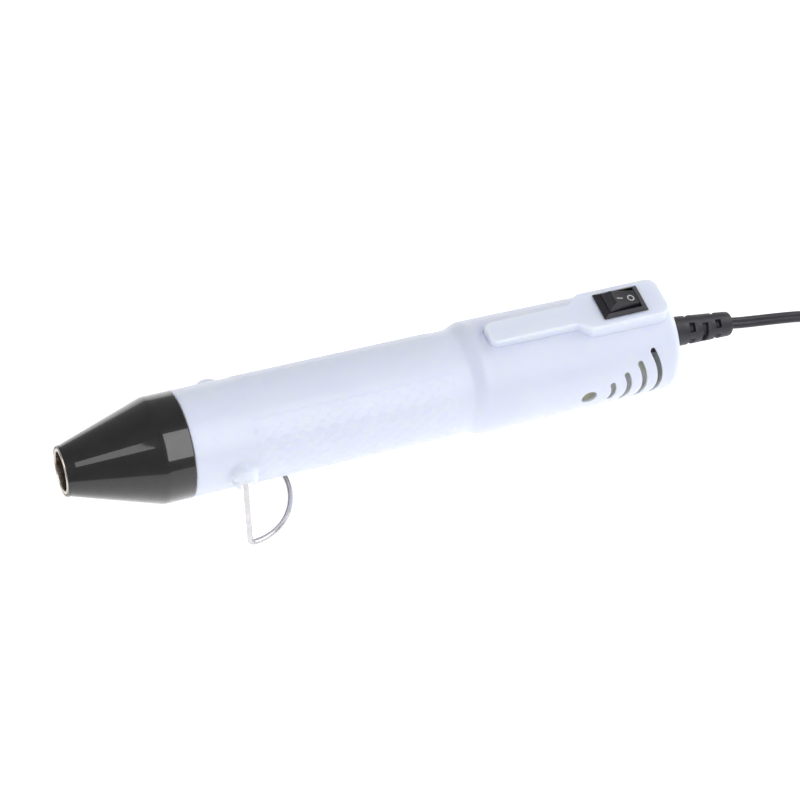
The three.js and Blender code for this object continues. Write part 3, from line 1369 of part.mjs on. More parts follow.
function addCordPieces(parent) {
  addPiece(parent, "cord", cordGeometry(), cordBlack);
  const points = coilPoints();
  addPiece(parent, "cord_coil", tube(points, CORD_WIDTH / 2, CORD_THICKNESS / 2, 6, true), cordBlack);
  const gap = leastGap(points, [CORD_WIDTH, CORD_THICKNESS], COIL_STEPS_PER_TURN / 2);
  console.log(`least gap in the cord coil: ${gap.toFixed(2)} mm`);
  addPiece(parent, "coil_tie", coilTieGeometry(points), cordBlack);
  plugAxis.end = points[points.length - 1];
  plugAxis.heading = heading(points);
}

/** Flat two-blade mains plug, length along x, its cord end at x = 0. */
function plugBodyGeometry() {
  const half = [PLUG_WIDTH / 2, PLUG_THICKNESS / 2];
  const sectionAt = (along, shrink) => {
    const [w, h] = [half[0] - shrink, half[1] - Math.min(shrink, half[1] * 0.45)];
    const corner = Math.min(PLUG_CORNER, w, h);
    const turn = [[1, 1], [-1, 1], [-1, -1], [1, -1]];
    return turn.flatMap(([sy, sz], q) =>
      [0, 1, 2].map((i) => {
        const angle = (q + i / 2) * (Math.PI / 2);
        const y = sy * (w - corner) + corner * Math.cos(angle);
        const z = sz * (h - corner) + corner * Math.sin(angle);
        return vector(along, y, z);
      }),
    );
  };
  return loft([
    sectionAt(0, 6.2),
    sectionAt(6, 5.6),
    sectionAt(12, 1.4),
    sectionAt(16, 0),
    sectionAt(PLUG_LENGTH - 1.2, 0),
    sectionAt(PLUG_LENGTH, 1),
  ]);
}

function plugBladeGeometry(side) {
  const [thickness, length, width] = PLUG_BLADE;
  const start = PLUG_LENGTH + SEAT_GAP;
  const middle = (side * PLUG_BLADE_SPACING) / 2;
  const low = [start, middle - thickness / 2, -width / 2];
  return block(low, [start + length, middle + thickness / 2, width / 2]);
}

const object = new THREE.Group();
object.add(tool);
addCordPieces(object);
const plug = new THREE.Group();
addPiece(plug, "plug_body", plugBodyGeometry(), cordBlack);
addPiece(plug, "plug_blade_1", plugBladeGeometry(-1), brass);
addPiece(plug, "plug_blade_2", plugBladeGeometry(1), brass);
plug.position.copy(plugAxis.end).addScaledVector(plugAxis.heading, SEAT_GAP);
plug.rotation.z = Math.atan2(plugAxis.heading.y, plugAxis.heading.x);
object.add(plug);
object.updateMatrixWorld(true);

export default object;
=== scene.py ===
"""Slim hot air tool standing nose-up on its wire stand, with its mains cord and plug.

Every size is in metres. The tool's own frame has its axis along X, with the nozzle's mouth at
zero and the cord at the far end, and each piece is built there before it is stood on the table.
"""

import json
import logging
import math
from collections.abc import Sequence
from dataclasses import dataclass, field
from enum import Enum

import bpy
import numpy as np
from mathutils import Matrix, Vector


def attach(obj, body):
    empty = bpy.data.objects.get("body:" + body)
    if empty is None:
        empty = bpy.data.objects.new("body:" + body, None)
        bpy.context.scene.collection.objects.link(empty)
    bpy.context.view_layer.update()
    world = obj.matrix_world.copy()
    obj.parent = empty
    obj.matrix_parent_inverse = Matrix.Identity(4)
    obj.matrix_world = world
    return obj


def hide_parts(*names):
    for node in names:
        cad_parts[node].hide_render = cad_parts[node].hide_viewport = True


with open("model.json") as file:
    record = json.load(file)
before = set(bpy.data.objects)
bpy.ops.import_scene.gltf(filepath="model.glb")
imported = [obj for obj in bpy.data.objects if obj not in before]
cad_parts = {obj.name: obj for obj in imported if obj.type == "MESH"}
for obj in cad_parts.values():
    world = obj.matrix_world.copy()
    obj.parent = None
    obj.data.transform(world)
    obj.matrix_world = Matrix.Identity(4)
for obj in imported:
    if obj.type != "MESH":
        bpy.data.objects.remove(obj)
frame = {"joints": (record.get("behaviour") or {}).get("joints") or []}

LOG = logging.getLogger("hot_air_tool")
MM = 0.001
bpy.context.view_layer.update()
JOINTS = {joint["name"]: joint for joint in frame["joints"]}

# Pose of the tool on the table
BOSS_STATION = 72.6 * MM
TOOL_TILT = math.radians(7.0)
PIVOT = Vector(JOINTS["bail_hinge"]["pos_m"])
TOOL_TO_WORLD = (
    Matrix.Translation(PIVOT)
    @ Matrix.Rotation(TOOL_TILT, 4, "Y")
    @ Matrix.Translation((-BOSS_STATION, 0.0, 0.0))
)
SEAT_GAP = 0.3 * MM

Point = tuple[float, float, float]
Station = tuple[float, float]


class Body(Enum):
    """Bodies of the moving frame that carry the pieces made here."""

    TOOL = "body"
    STAND = "stand"
    ROCKER = "rocker"


class Joining(Enum):
    """Ways in which one solid changes another."""

    UNION = "UNION"
    DIFFERENCE = "DIFFERENCE"


# Shared modelling steps


def deselect_all() -> None:
    """Return to object mode with nothing selected."""
    if bpy.context.object and bpy.context.object.mode != "OBJECT":
        bpy.ops.object.mode_set(mode="OBJECT")
    bpy.ops.object.select_all(action="DESELECT")


def activate(piece: bpy.types.Object) -> None:
    """Make one piece the active and only selected one.

    Args:
        piece: the object to work on.
    """
    deselect_all()
    piece.select_set(True)
    bpy.context.view_layer.objects.active = piece


def apply_place(piece: bpy.types.Object) -> None:
    """Move a piece's location, turn and scale into its mesh.

    Args:
        piece: the object to settle at the origin.
    """
    activate(piece)
    bpy.ops.object.transform_apply(location=True, rotation=True, scale=True)


def transform_mesh(piece: bpy.types.Object, matrix: Matrix) -> bpy.types.Object:
    """Place a piece by a matrix and settle it at the origin.

    Args:
        piece: the object to place.
        matrix: the placing, in the space where the piece stands now.

    Returns:
        The same object.
    """
    piece.matrix_world = matrix @ piece.matrix_world
    apply_place(piece)
    return piece


def smooth(piece: bpy.types.Object, angle_deg: float = 35.0) -> bpy.types.Object:
    """Shade a piece smooth, with edges sharper than an angle kept crisp.

    Args:
        piece: the object to shade.
        angle_deg: greatest angle between faces that is shaded smooth.

    Returns:
        The same object.
    """
    activate(piece)
    bpy.ops.object.shade_smooth_by_angle(angle=math.radians(angle_deg))
    return piece


def even_normals(piece: bpy.types.Object) -> bpy.types.Object:
    """Let large faces govern a smooth piece's shading, so that flat faces look flat."""
    activate(piece)
    modifier = piece.modifiers.new("Shading", "WEIGHTED_NORMAL")
    modifier.keep_sharp = True
    modifier.weight = 100
    bpy.ops.object.modifier_apply(modifier=modifier.name)
    return piece


def join(pieces: Sequence[bpy.types.Object], name: str) -> bpy.types.Object:
    """Join pieces that don't touch into one object.

    Args:
        pieces: the objects to join.
        name: name of the joined object.

    Returns:
        The joined object.
    """
    activate(pieces[0])
    for piece in pieces[1:]:
        piece.select_set(True)
    if len(pieces) > 1:
        bpy.ops.object.join()
    pieces[0].name = name
    return pieces[0]


def combine(target: bpy.types.Object, tool: bpy.types.Object, how: Joining) -> bpy.types.Object:
    """Change a solid by another one, which is used up.

    Args:
        target: the solid that is kept.
        tool: the solid that is joined to it or cut out of it.
        how: union or difference.

    Returns:
        The changed target.
    """
    activate(target)
    modifier = target.modifiers.new(how.value.title(), "BOOLEAN")
    modifier.operation = how.value
    modifier.solver = "MANIFOLD"
    modifier.object = tool
    bpy.ops.object.modifier_apply(modifier=modifier.name)
    bpy.data.objects.remove(tool)
    return target


def bevel(
    piece: bpy.types.Object, width: float, segments: int = 3, angle_deg: float = 35.0
) -> bpy.types.Object:
    """Round the sharp edges of a piece.

    Args:
        piece: the object to round.
        width: width of the rounding.
        segments: facets across the rounding.
        angle_deg: edges sharper than this are rounded.

    Returns:
        The same object.
    """
    activate(piece)
    modifier = piece.modifiers.new("Rounding", "BEVEL")
    modifier.width = width
    modifier.segments = segments
    modifier.limit_method = "ANGLE"
    modifier.angle_limit = math.radians(angle_deg)
    modifier.use_clamp_overlap = True
    bpy.ops.object.modifier_apply(modifier=modifier.name)
    return piece


def edit_whole(piece: bpy.types.Object) -> None:
    """Open a piece for editing with all of its mesh selected."""
    activate(piece)
    bpy.ops.object.mode_set(mode="EDIT")
    bpy.ops.mesh.select_all(action="SELECT")


def cut_level(piece: bpy.types.Object, height: float) -> None:
    """Divide the faces of a piece where they cross a level plane."""
    edit_whole(piece)
    bpy.ops.mesh.bisect(plane_co=(0, 0, height), plane_no=(0, 0, 1))
    deselect_all()


def outline_vertex(name: str, start: Point) -> bpy.types.Object:
    """Start a drawn outline with a single vertex, left in edit mode.

    Args:
        name: name of the new object.
        start: place of the first vertex.

    Returns:
        The new object.
    """
    deselect_all()
    bpy.ops.mesh.primitive_plane_add(size=MM, location=start)
    piece = bpy.context.object
    piece.name = name
    edit_whole(piece)
    bpy.ops.mesh.merge(type="CENTER")
    return piece


def extrude_along(points: Sequence[Point]) -> None:
    """Extrude the selected vertex from point to point.

    Args:
        points: the outline's points, of which the first is where the vertex is.
    """
    for before, after in zip(points, points[1:]):
        step = Vector(after) - Vector(before)
        bpy.ops.mesh.extrude_vertices_move(TRANSFORM_OT_translate={"value": tuple(step)})


def close_and_orient(merge_distance: float = 1e-6) -> None:
    """Merge doubled vertices of the edited mesh and turn its faces outwards.

    Args:
        merge_distance: vertices nearer than this are merged.
    """
    bpy.ops.mesh.select_all(action="SELECT")
    bpy.ops.mesh.remove_doubles(threshold=merge_distance)
    bpy.ops.mesh.normals_make_consistent(inside=False)


def spun(name: str, profile: Sequence[Station], steps: int) -> bpy.types.Object:
    """Spin a profile about the X axis.

    Args:
        name: name of the new piece.
        profile: (station, radius) points, which close on themselves or start and end on the axis.
        steps: facets round the axis.

    Returns:
        The new closed piece.
    """
    points = [(station, 0.0, radius) for station, radius in profile]
    piece = outline_vertex(name, points[0])
    extrude_along(points)
    bpy.ops.mesh.select_all(action="SELECT")
    bpy.ops.mesh.spin(steps=steps, angle=2 * math.pi, center=(0, 0, 0), axis=(1, 0, 0))
    close_and_orient()
    apply_place(piece)
    return piece


def ring_profile(start: float, end: float, outer: float, inner: float) -> list[Station]:
    """Closed square profile of a ring between two stations and two radii."""
    return [(start, outer), (end, outer), (end, inner), (start, inner), (start, outer)]


def prism(name: str, outline: Sequence[Point], depth: Vector) -> bpy.types.Object:
    """Solid made by extruding a flat closed outline.

    Args:
        name: name of the new piece.
        outline: its corners, in order, without a repeated last one.
        depth: the direction and length of the extrusion.

    Returns:
        The new closed piece.
    """
    piece = outline_vertex(name, outline[0])
    extrude_along([*outline, outline[0]])
    bpy.ops.mesh.select_all(action="SELECT")
    bpy.ops.mesh.remove_doubles(threshold=1e-6)
    bpy.ops.mesh.edge_face_add()
    bpy.ops.mesh.extrude_region_move(TRANSFORM_OT_translate={"value": tuple(depth)})
    close_and_orient()
    apply_place(piece)
    return piece


def sector(band: Station, inner: float, outer: float, centre_deg: float, half_deg: float) -> bpy.types.Object:
    """Wedge of a ring round the X axis, used as a cutter.

    Args:
        band: stations of its front and rear.
        inner: inner radius.
        outer: outer radius.
        centre_deg: middle of the wedge, counted from the far side towards the top.
        half_deg: half of its angle.

    Returns:
        The new wedge.
    """
    angles = np.radians(np.linspace(centre_deg - half_deg, centre_deg + half_deg, 15))
    outline = [(band[0], outer * math.cos(angle), outer * math.sin(angle)) for angle in angles]
    outline += [(band[0], inner * math.cos(angle), inner * math.sin(angle)) for angle in angles[::-1]]
    return prism("ring_sector", outline, Vector((band[1] - band[0], 0, 0)))


def block(name: str, low: Point, high: Point) -> bpy.types.Object:
    """Box between two corners.

    Args:
        name: name of the new piece.
        low: its lowest corner.
        high: its highest corner.

    Returns:
        The new box.
    """
    deselect_all()
    middle = (Vector(low) + Vector(high)) / 2
    bpy.ops.mesh.primitive_cube_add(size=1.0, location=middle)
    piece = bpy.context.object
    piece.name = name
    piece.scale = Vector(high) - Vector(low)
    apply_place(piece)
    return piece


def bar(name: str, start: Vector, end: Vector, radius: float, sides: int = 48) -> bpy.types.Object:
    """Round bar between two points.

    Args:
        name: name of the new piece.
        start: middle of one end.
        end: middle of the other end.
        radius: its radius.
        sides: facets round it.

    Returns:
        The new bar.
    """
    deselect_all()
    along = end - start
    turn = along.to_track_quat("Z", "Y").to_euler()
    bpy.ops.mesh.primitive_cylinder_add(
        vertices=sides, radius=radius, depth=along.length, location=(start + end) / 2, rotation=turn
    )
    piece = bpy.context.object
    piece.name = name
    apply_place(piece)
    return piece


def swept(
    name: str,
    path: Sequence[Vector],
    section: Sequence[tuple[float, float]] | None = None,
    radius: float = 0.0,
    level: bool = False,
    resolution: int = 6,
    rolls: Sequence[float] = (),
) -> bpy.types.Object:
    """Tube along a path, round or with a drawn section, with closed ends.

    Args:
        name: name of the new piece.
        path: points of its centre line.
        section: outline of its section, or None for a round one.
        radius: radius of a round section.
        level: keeps the section's width level all along.
        resolution: facets in a quarter of a round section, less one.
        rolls: turn of the section at the first points of the path.

    Returns:
        The new mesh piece.
    """
    deselect_all()
    curve = bpy.data.curves.new(name, "CURVE")
    curve.dimensions = "3D"
    curve.twist_mode = "Z_UP" if level else "MINIMUM"
    spline = curve.splines.new("POLY")
    spline.points.add(len(path) - 1)
    for place, point in zip(spline.points, path):
        place.co = (*point, 1.0)
    for place, roll in zip(spline.points, rolls):
        place.tilt = roll
    curve.use_fill_caps = True
    piece = bpy.data.objects.new(name, curve)
    bpy.context.scene.collection.objects.link(piece)
    outline = None
    if section is None:
        curve.bevel_depth = radius
        curve.bevel_resolution = resolution
    else:
        outline_curve = bpy.data.curves.new(f"{name}_section", "CURVE")
        outline_curve.dimensions = "2D"
        around = outline_curve.splines.new("POLY")
        around.points.add(len(section) - 1)
        around.use_cyclic_u = True
        for place, (x, y) in zip(around.points, section):
            place.co = (x, y, 0.0, 1.0)
        outline = bpy.data.objects.new(f"{name}_section", outline_curve)
        bpy.context.scene.collection.objects.link(outline)
        curve.bevel_mode = "OBJECT"
        curve.bevel_object = outline
    activate(piece)
    bpy.ops.object.convert(target="MESH")
    piece = bpy.context.object
    if outline is not None:
        bpy.data.objects.remove(outline)
    bpy.ops.object.mode_set(mode="EDIT")
    close_and_orient()
    deselect_all()
    return piece


def centripetal_point(points: Sequence[Vector], knots: Sequence[float], at: float) -> Vector:
    """Point of one span of a centripetal curve.

    Args:
        points: the span's four points.
        knots: their four knots.
        at: the knot value that is asked for.

    Returns:
        The point there.
    """

    def between(one: Vector, other: Vector, start: float, end: float) -> Vector:
        """Point between two others at the asked knot value."""
        return one.lerp(other, (at - start) / (end - start))

    first = [between(points[i], points[i + 1], knots[i], knots[i + 1]) for i in range(3)]
    second = [between(first[i], first[i + 1], knots[i], knots[i + 2]) for i in range(2)]
    return between(second[0], second[1], knots[1], knots[2])


def curve_through(controls: Sequence[Vector], steps: int) -> list[Vector]:
    """Points on the centripetal curve through a few chosen points.

    Args:
        controls: the points that the curve goes through.
        steps: points made between each pair of them.

    Returns:
        The points, with both ends.
    """
    ends = [2 * controls[0] - controls[1], *controls, 2 * controls[-1] - controls[-2]]
    made: list[Vector] = []
    for span in zip(ends, ends[1:], ends[2:], ends[3:]):
        knots = [0.0]
        for one, other in zip(span, span[1:]):
            knots.append(knots[-1] + max((other - one).length, 1e-7) ** 0.5)
        for step in range(steps):
            made.append(centripetal_point(span, knots, knots[1] + (knots[2] - knots[1]) * step / steps))
    made.append(controls[-1].copy())
    return made


def eased(share: float) -> float:
    """Smooth step from 0 to 1."""
    share = min(1.0, max(0.0, share))
    return share * share * (3 - 2 * share)


def stand_up(piece: bpy.types.Object) -> bpy.types.Object:
    """Take a piece from the tool's own frame to its place on the table."""
    return transform_mesh(piece, TOOL_TO_WORLD)


def dress(piece: bpy.types.Object, finish: "Finish") -> bpy.types.Object:
    """Give a piece one finish all over.

    Args:
        piece: the object to dress.
        finish: its finish.

    Returns:
        The same object.
    """
    piece.data.materials.clear()
    piece.data.materials.append(finish.material())
    return piece


def settle(piece: bpy.types.Object, finish: "Finish", body: Body, *nodes: str) -> bpy.types.Object:
    """Dress a piece, let it ride on its body and hide the plain nodes that it stands for.

    Args:
        piece: the finished object.
        finish: its finish.
        body: the body that carries it.
        nodes: the plain nodes that it replaces.

    Returns:
        The same object.
    """
    dress(piece, finish)
    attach(piece, body.value)
    if nodes:
        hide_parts(*nodes)
    LOG.info("%s: %d faces on %s", piece.name, len(piece.data.polygons), body.value)
    return piece


# Finishes


class Grain(Enum):
    """Patterns of fine surface detail."""

    MOULDED = "moulded"
    BRUSHED = "brushed"
    TURNED = "turned"
    SPECKLED = "speckled"


@dataclass(frozen=True)
class Finish:
    """Surface finish with mottled colour, uneven gloss and fine relief.

    Attributes:
        name: name of the material.
        slot: material slot of the record that it comes from.
        colour: main colour, linear.
        shade: colour that it drifts to, linear.
        roughness: least and greatest roughness.
        metallic: 1 for metal.
        coat: weight of a clear top coat.
        coat_roughness: roughness of that coat.
        specular: strength of the reflection of a plain surface.
        mottle_size: size of the colour's patches.
        grain: pattern of the relief.
        grain_size: size of its grains.
        grain_height: depth of its grains.
        translucency: share of light that passes into the surface.
        scatter_radius: how deep its red, green and blue go.
        glow: light that the surface gives off by itself.
    """

    name: str
    slot: str
    colour: Point
    shade: Point
    roughness: tuple[float, float] = (0.35, 0.45)
    metallic: float = 0.0
    coat: float = 0.0
    coat_roughness: float = 0.05
    specular: float = 0.5
    mottle_size: float = 12 * MM
    grain: Grain = Grain.MOULDED
    grain_size: float = 0.25 * MM
    grain_height: float = 0.01 * MM
    translucency: float = 0.0
    scatter_radius: Point = (0.6 * MM, 0.6 * MM, 0.5 * MM)
    glow: float = 0.0

    def material(self) -> bpy.types.Material:
        """Build the material, or find it if it was built before."""
        made = bpy.data.materials.get(self.name)
        if made is not None:
            return made
        made = bpy.data.materials.new(self.name)
        made.use_nodes = True
        tree = made.node_tree
        shader = tree.nodes["Principled BSDF"]
        shader.inputs["Metallic"].default_value = self.metallic
        shader.inputs["Coat Weight"].default_value = self.coat
        shader.inputs["Coat Roughness"].default_value = self.coat_roughness
        shader.inputs["Specular IOR Level"].default_value = self.specular
        if self.translucency:
            shader.inputs["Subsurface Weight"].default_value = self.translucency
            shader.inputs["Subsurface Radius"].default_value = self.scatter_radius
            shader.inputs["Subsurface Scale"].default_value = 1.0
        if self.glow:
            shader.inputs["Emission Color"].default_value = (1.0, 1.0, 1.0, 1.0)
            shader.inputs["Emission Strength"].default_value = self.glow
        place = tree.nodes.new("ShaderNodeTexCoord").outputs["Object"]
        self._paint(tree, shader, place)
        self._gloss(tree, shader, place)
        self._relief(tree, shader, place)
        return made

    def _noise(
        self, tree: bpy.types.NodeTree, place: bpy.types.NodeSocket, size: float, detail: float
    ) -> bpy.types.Node:
        """Add a noise pattern.

        Args:
            tree: the material's nodes.
            place: coordinates that it reads.
            size: size of its patches.
            detail: how many finer layers it has.

        Returns:
            The noise node.
        """
        noise = tree.nodes.new("ShaderNodeTexNoise")
        noise.inputs["Scale"].default_value = 1.0 / size
        noise.inputs["Detail"].default_value = detail
        tree.links.new(place, noise.inputs["Vector"])
        return noise

    def _paint(self, tree: bpy.types.NodeTree, shader: bpy.types.Node, place: bpy.types.NodeSocket) -> None:
        """Let the colour drift between its two values."""
        patches = self._noise(tree, place, self.mottle_size, 3.0)
        ramp = tree.nodes.new("ShaderNodeValToRGB")
        ramp.color_ramp.elements[0].position = 0.35
        ramp.color_ramp.elements[0].color = (*self.shade, 1.0)
        ramp.color_ramp.elements[1].position = 0.65
        ramp.color_ramp.elements[1].color = (*self.colour, 1.0)
        tree.links.new(patches.outputs["Fac"], ramp.inputs["Fac"])
        tree.links.new(ramp.outputs["Color"], shader.inputs["Base Color"])

    def _gloss(self, tree: bpy.types.NodeTree, shader: bpy.types.Node, place: bpy.types.NodeSocket) -> None:
        """Let the roughness drift, as handling and moulding leave it."""
        smears = self._noise(tree, place, self.mottle_size * 0.4, 4.0)
        spread = tree.nodes.new("ShaderNodeMapRange")
        spread.inputs["From Min"].default_value = 0.3
        spread.inputs["From Max"].default_value = 0.7
        spread.inputs["To Min"].default_value = self.roughness[0]
        spread.inputs["To Max"].default_value = self.roughness[1]
        tree.links.new(smears.outputs["Fac"], spread.inputs["Value"])
        tree.links.new(spread.outputs["Result"], shader.inputs["Roughness"])

    def _relief(self, tree: bpy.types.NodeTree, shader: bpy.types.Node, place: bpy.types.NodeSocket) -> None:
        """Add the fine relief of the surface."""
        if self.grain in (Grain.BRUSHED, Grain.TURNED):
            stretch = tree.nodes.new("ShaderNodeMapping")
            along_tool = self.grain is Grain.BRUSHED
            stretch.inputs["Scale"].default_value = (0.08, 1, 1) if along_tool else (1, 0.1, 0.1)
            tree.links.new(place, stretch.inputs["Vector"])
            place = stretch.outputs["Vector"]
        if self.grain is Grain.SPECKLED:
            relief = tree.nodes.new("ShaderNodeTexVoronoi")
            relief.inputs["Scale"].default_value = 1.0 / self.grain_size
            tree.links.new(place, relief.inputs["Vector"])
            height = relief.outputs["Distance"]
        else:
            height = self._noise(tree, place, self.grain_size, 2.0).outputs["Fac"]
        bump = tree.nodes.new("ShaderNodeBump")
        bump.inputs["Strength"].default_value = 1.0
        bump.inputs["Distance"].default_value = self.grain_height
        tree.links.new(height, bump.inputs["Height"])
        tree.links.new(bump.outputs["Normal"], shader.inputs["Normal"])


SHELL_WHITE = Finish(
    "satin_white_shell", "shell_white", (0.74, 0.785, 0.905), (0.72, 0.766, 0.89),
    roughness=(0.30, 0.38), mottle_size=30 * MM, grain_size=0.35 * MM, grain_height=0.012 * MM,
    translucency=0.8, scatter_radius=(4 * MM, 3.7 * MM, 2 * MM),
)
NOZZLE_ENAMEL = Finish(
    "glossy_black_enamel", "nozzle_enamel", (0.012, 0.012, 0.014), (0.008, 0.008, 0.009),
    roughness=(0.26, 0.34), coat=1.0, coat_roughness=0.03, specular=0.2, mottle_size=8 * MM,
    grain_size=0.9 * MM, grain_height=0.01 * MM,
)
BRIGHT_STEEL = Finish(
    "drawn_bright_steel", "bright_steel", (0.62, 0.60, 0.615), (0.54, 0.525, 0.535),
    roughness=(0.14, 0.30), metallic=1.0, mottle_size=5 * MM, grain=Grain.BRUSHED,
    grain_size=0.12 * MM, grain_height=0.006 * MM,
)
TUBE_STEEL = Finish(
    "heat_tinted_steel", "bright_steel", (0.60, 0.56, 0.52), (0.48, 0.40, 0.33),
    roughness=(0.18, 0.36), metallic=1.0, mottle_size=7 * MM, grain=Grain.TURNED,
    grain_size=0.2 * MM, grain_height=0.01 * MM,
)
MICA = Finish(
    "mica_sheet", "mica", (0.52, 0.42, 0.25), (0.36, 0.28, 0.16),
    roughness=(0.35, 0.6), mottle_size=4 * MM, grain=Grain.SPECKLED, grain_size=0.8 * MM,
    grain_height=0.03 * MM,
)
HEAT_WIRE = Finish(
    "oxidised_heating_wire", "heat_wire", (0.20, 0.19, 0.18), (0.11, 0.10, 0.10),
    roughness=(0.4, 0.6), metallic=1.0, mottle_size=3 * MM, grain_size=0.2 * MM,
)
PHENOLIC = Finish(
    "brown_phenolic", "phenolic", (0.055, 0.035, 0.024), (0.035, 0.022, 0.016),
    roughness=(0.45, 0.62), mottle_size=3 * MM, grain=Grain.SPECKLED, grain_size=0.4 * MM,
    grain_height=0.02 * MM,
)
CARRIER_PLASTIC = Finish(
    "cream_carrier_plastic", "carrier_plastic", (0.80, 0.78, 0.70), (0.76, 0.74, 0.66),
    roughness=(0.45, 0.6), mottle_size=14 * MM, grain_size=0.3 * MM, grain_height=0.015 * MM,
)
FAN_PLASTIC = Finish(
    "dark_fan_plastic", "fan_plastic", (0.024, 0.024, 0.027), (0.017, 0.017, 0.019),
    roughness=(0.35, 0.5), mottle_size=6 * MM, grain_size=0.3 * MM, grain_height=0.012 * MM,
)
CAN_STEEL = Finish(
    "zinc_plated_can", "can_steel", (0.72, 0.72, 0.71), (0.64, 0.64, 0.64),
    roughness=(0.25, 0.42), metallic=1.0, mottle_size=6 * MM, grain=Grain.TURNED,
    grain_size=0.15 * MM, grain_height=0.008 * MM,
)
BRASS = Finish(
    "stamped_brass", "brass", (0.68, 0.48, 0.19), (0.55, 0.37, 0.14),
    roughness=(0.22, 0.38), metallic=1.0, mottle_size=5 * MM, grain=Grain.BRUSHED,
    grain_size=0.15 * MM, grain_height=0.008 * MM,
)
BOARD_RESIN = Finish(
    "board_resin", "board_resin", (0.36, 0.20, 0.075), (0.28, 0.15, 0.055),
    roughness=(0.5, 0.65), mottle_size=4 * MM, grain=Grain.SPECKLED, grain_size=0.5 * MM,
    grain_height=0.02 * MM,
)
COMPONENT_BLACK = Finish(
    "epoxy_component_black", "component_black", (0.012, 0.012, 0.013), (0.008, 0.008, 0.009),
    roughness=(0.4, 0.55), mottle_size=2 * MM, grain_size=0.2 * MM,
)
CAPACITOR_BLUE = Finish(
    "capacitor_sleeve", "capacitor_blue", (0.016, 0.045, 0.13), (0.012, 0.034, 0.10),
    roughness=(0.25, 0.4), mottle_size=5 * MM, grain_size=0.3 * MM, grain_height=0.008 * MM,
)
SWITCH_BLACK = Finish(
    "satin_switch_black", "switch_black", (0.017, 0.016, 0.022), (0.012, 0.0115, 0.016),
    roughness=(0.30, 0.42), mottle_size=4 * MM, grain_size=0.18 * MM, grain_height=0.008 * MM,
)
MARK_WHITE = Finish(
    "printed_mark", "shell_white", (0.55, 0.55, 0.55), (0.45, 0.45, 0.46),
    roughness=(0.5, 0.6), mottle_size=0.6 * MM, grain_size=0.1 * MM, grain_height=0.004 * MM,
)
LEAD_RED = Finish(
    "silicone_lead_red", "lead_red", (0.33, 0.03, 0.022), (0.27, 0.024, 0.018),
    roughness=(0.4, 0.55), mottle_size=6 * MM, grain_size=0.2 * MM,
)
LEAD_WHITE = Finish(
    "silicone_lead_white", "lead_white", (0.72, 0.72, 0.69), (0.64, 0.64, 0.60),
    roughness=(0.4, 0.55), mottle_size=6 * MM, grain_size=0.2 * MM,
)
CORD_BLACK = Finish(
    "satin_cord_black", "cord_black", (0.024, 0.022, 0.030), (0.017, 0.016, 0.022),
    roughness=(0.30, 0.42), mottle_size=10 * MM, grain_size=0.25 * MM, grain_height=0.01 * MM,
)
RELIEF_BLACK = Finish(
    "moulded_relief_black", "cord_black", (0.026, 0.024, 0.033), (0.019, 0.018, 0.025),
    roughness=(0.40, 0.52), mottle_size=5 * MM, grain_size=0.3 * MM, grain_height=0.014 * MM,
)


# Housing


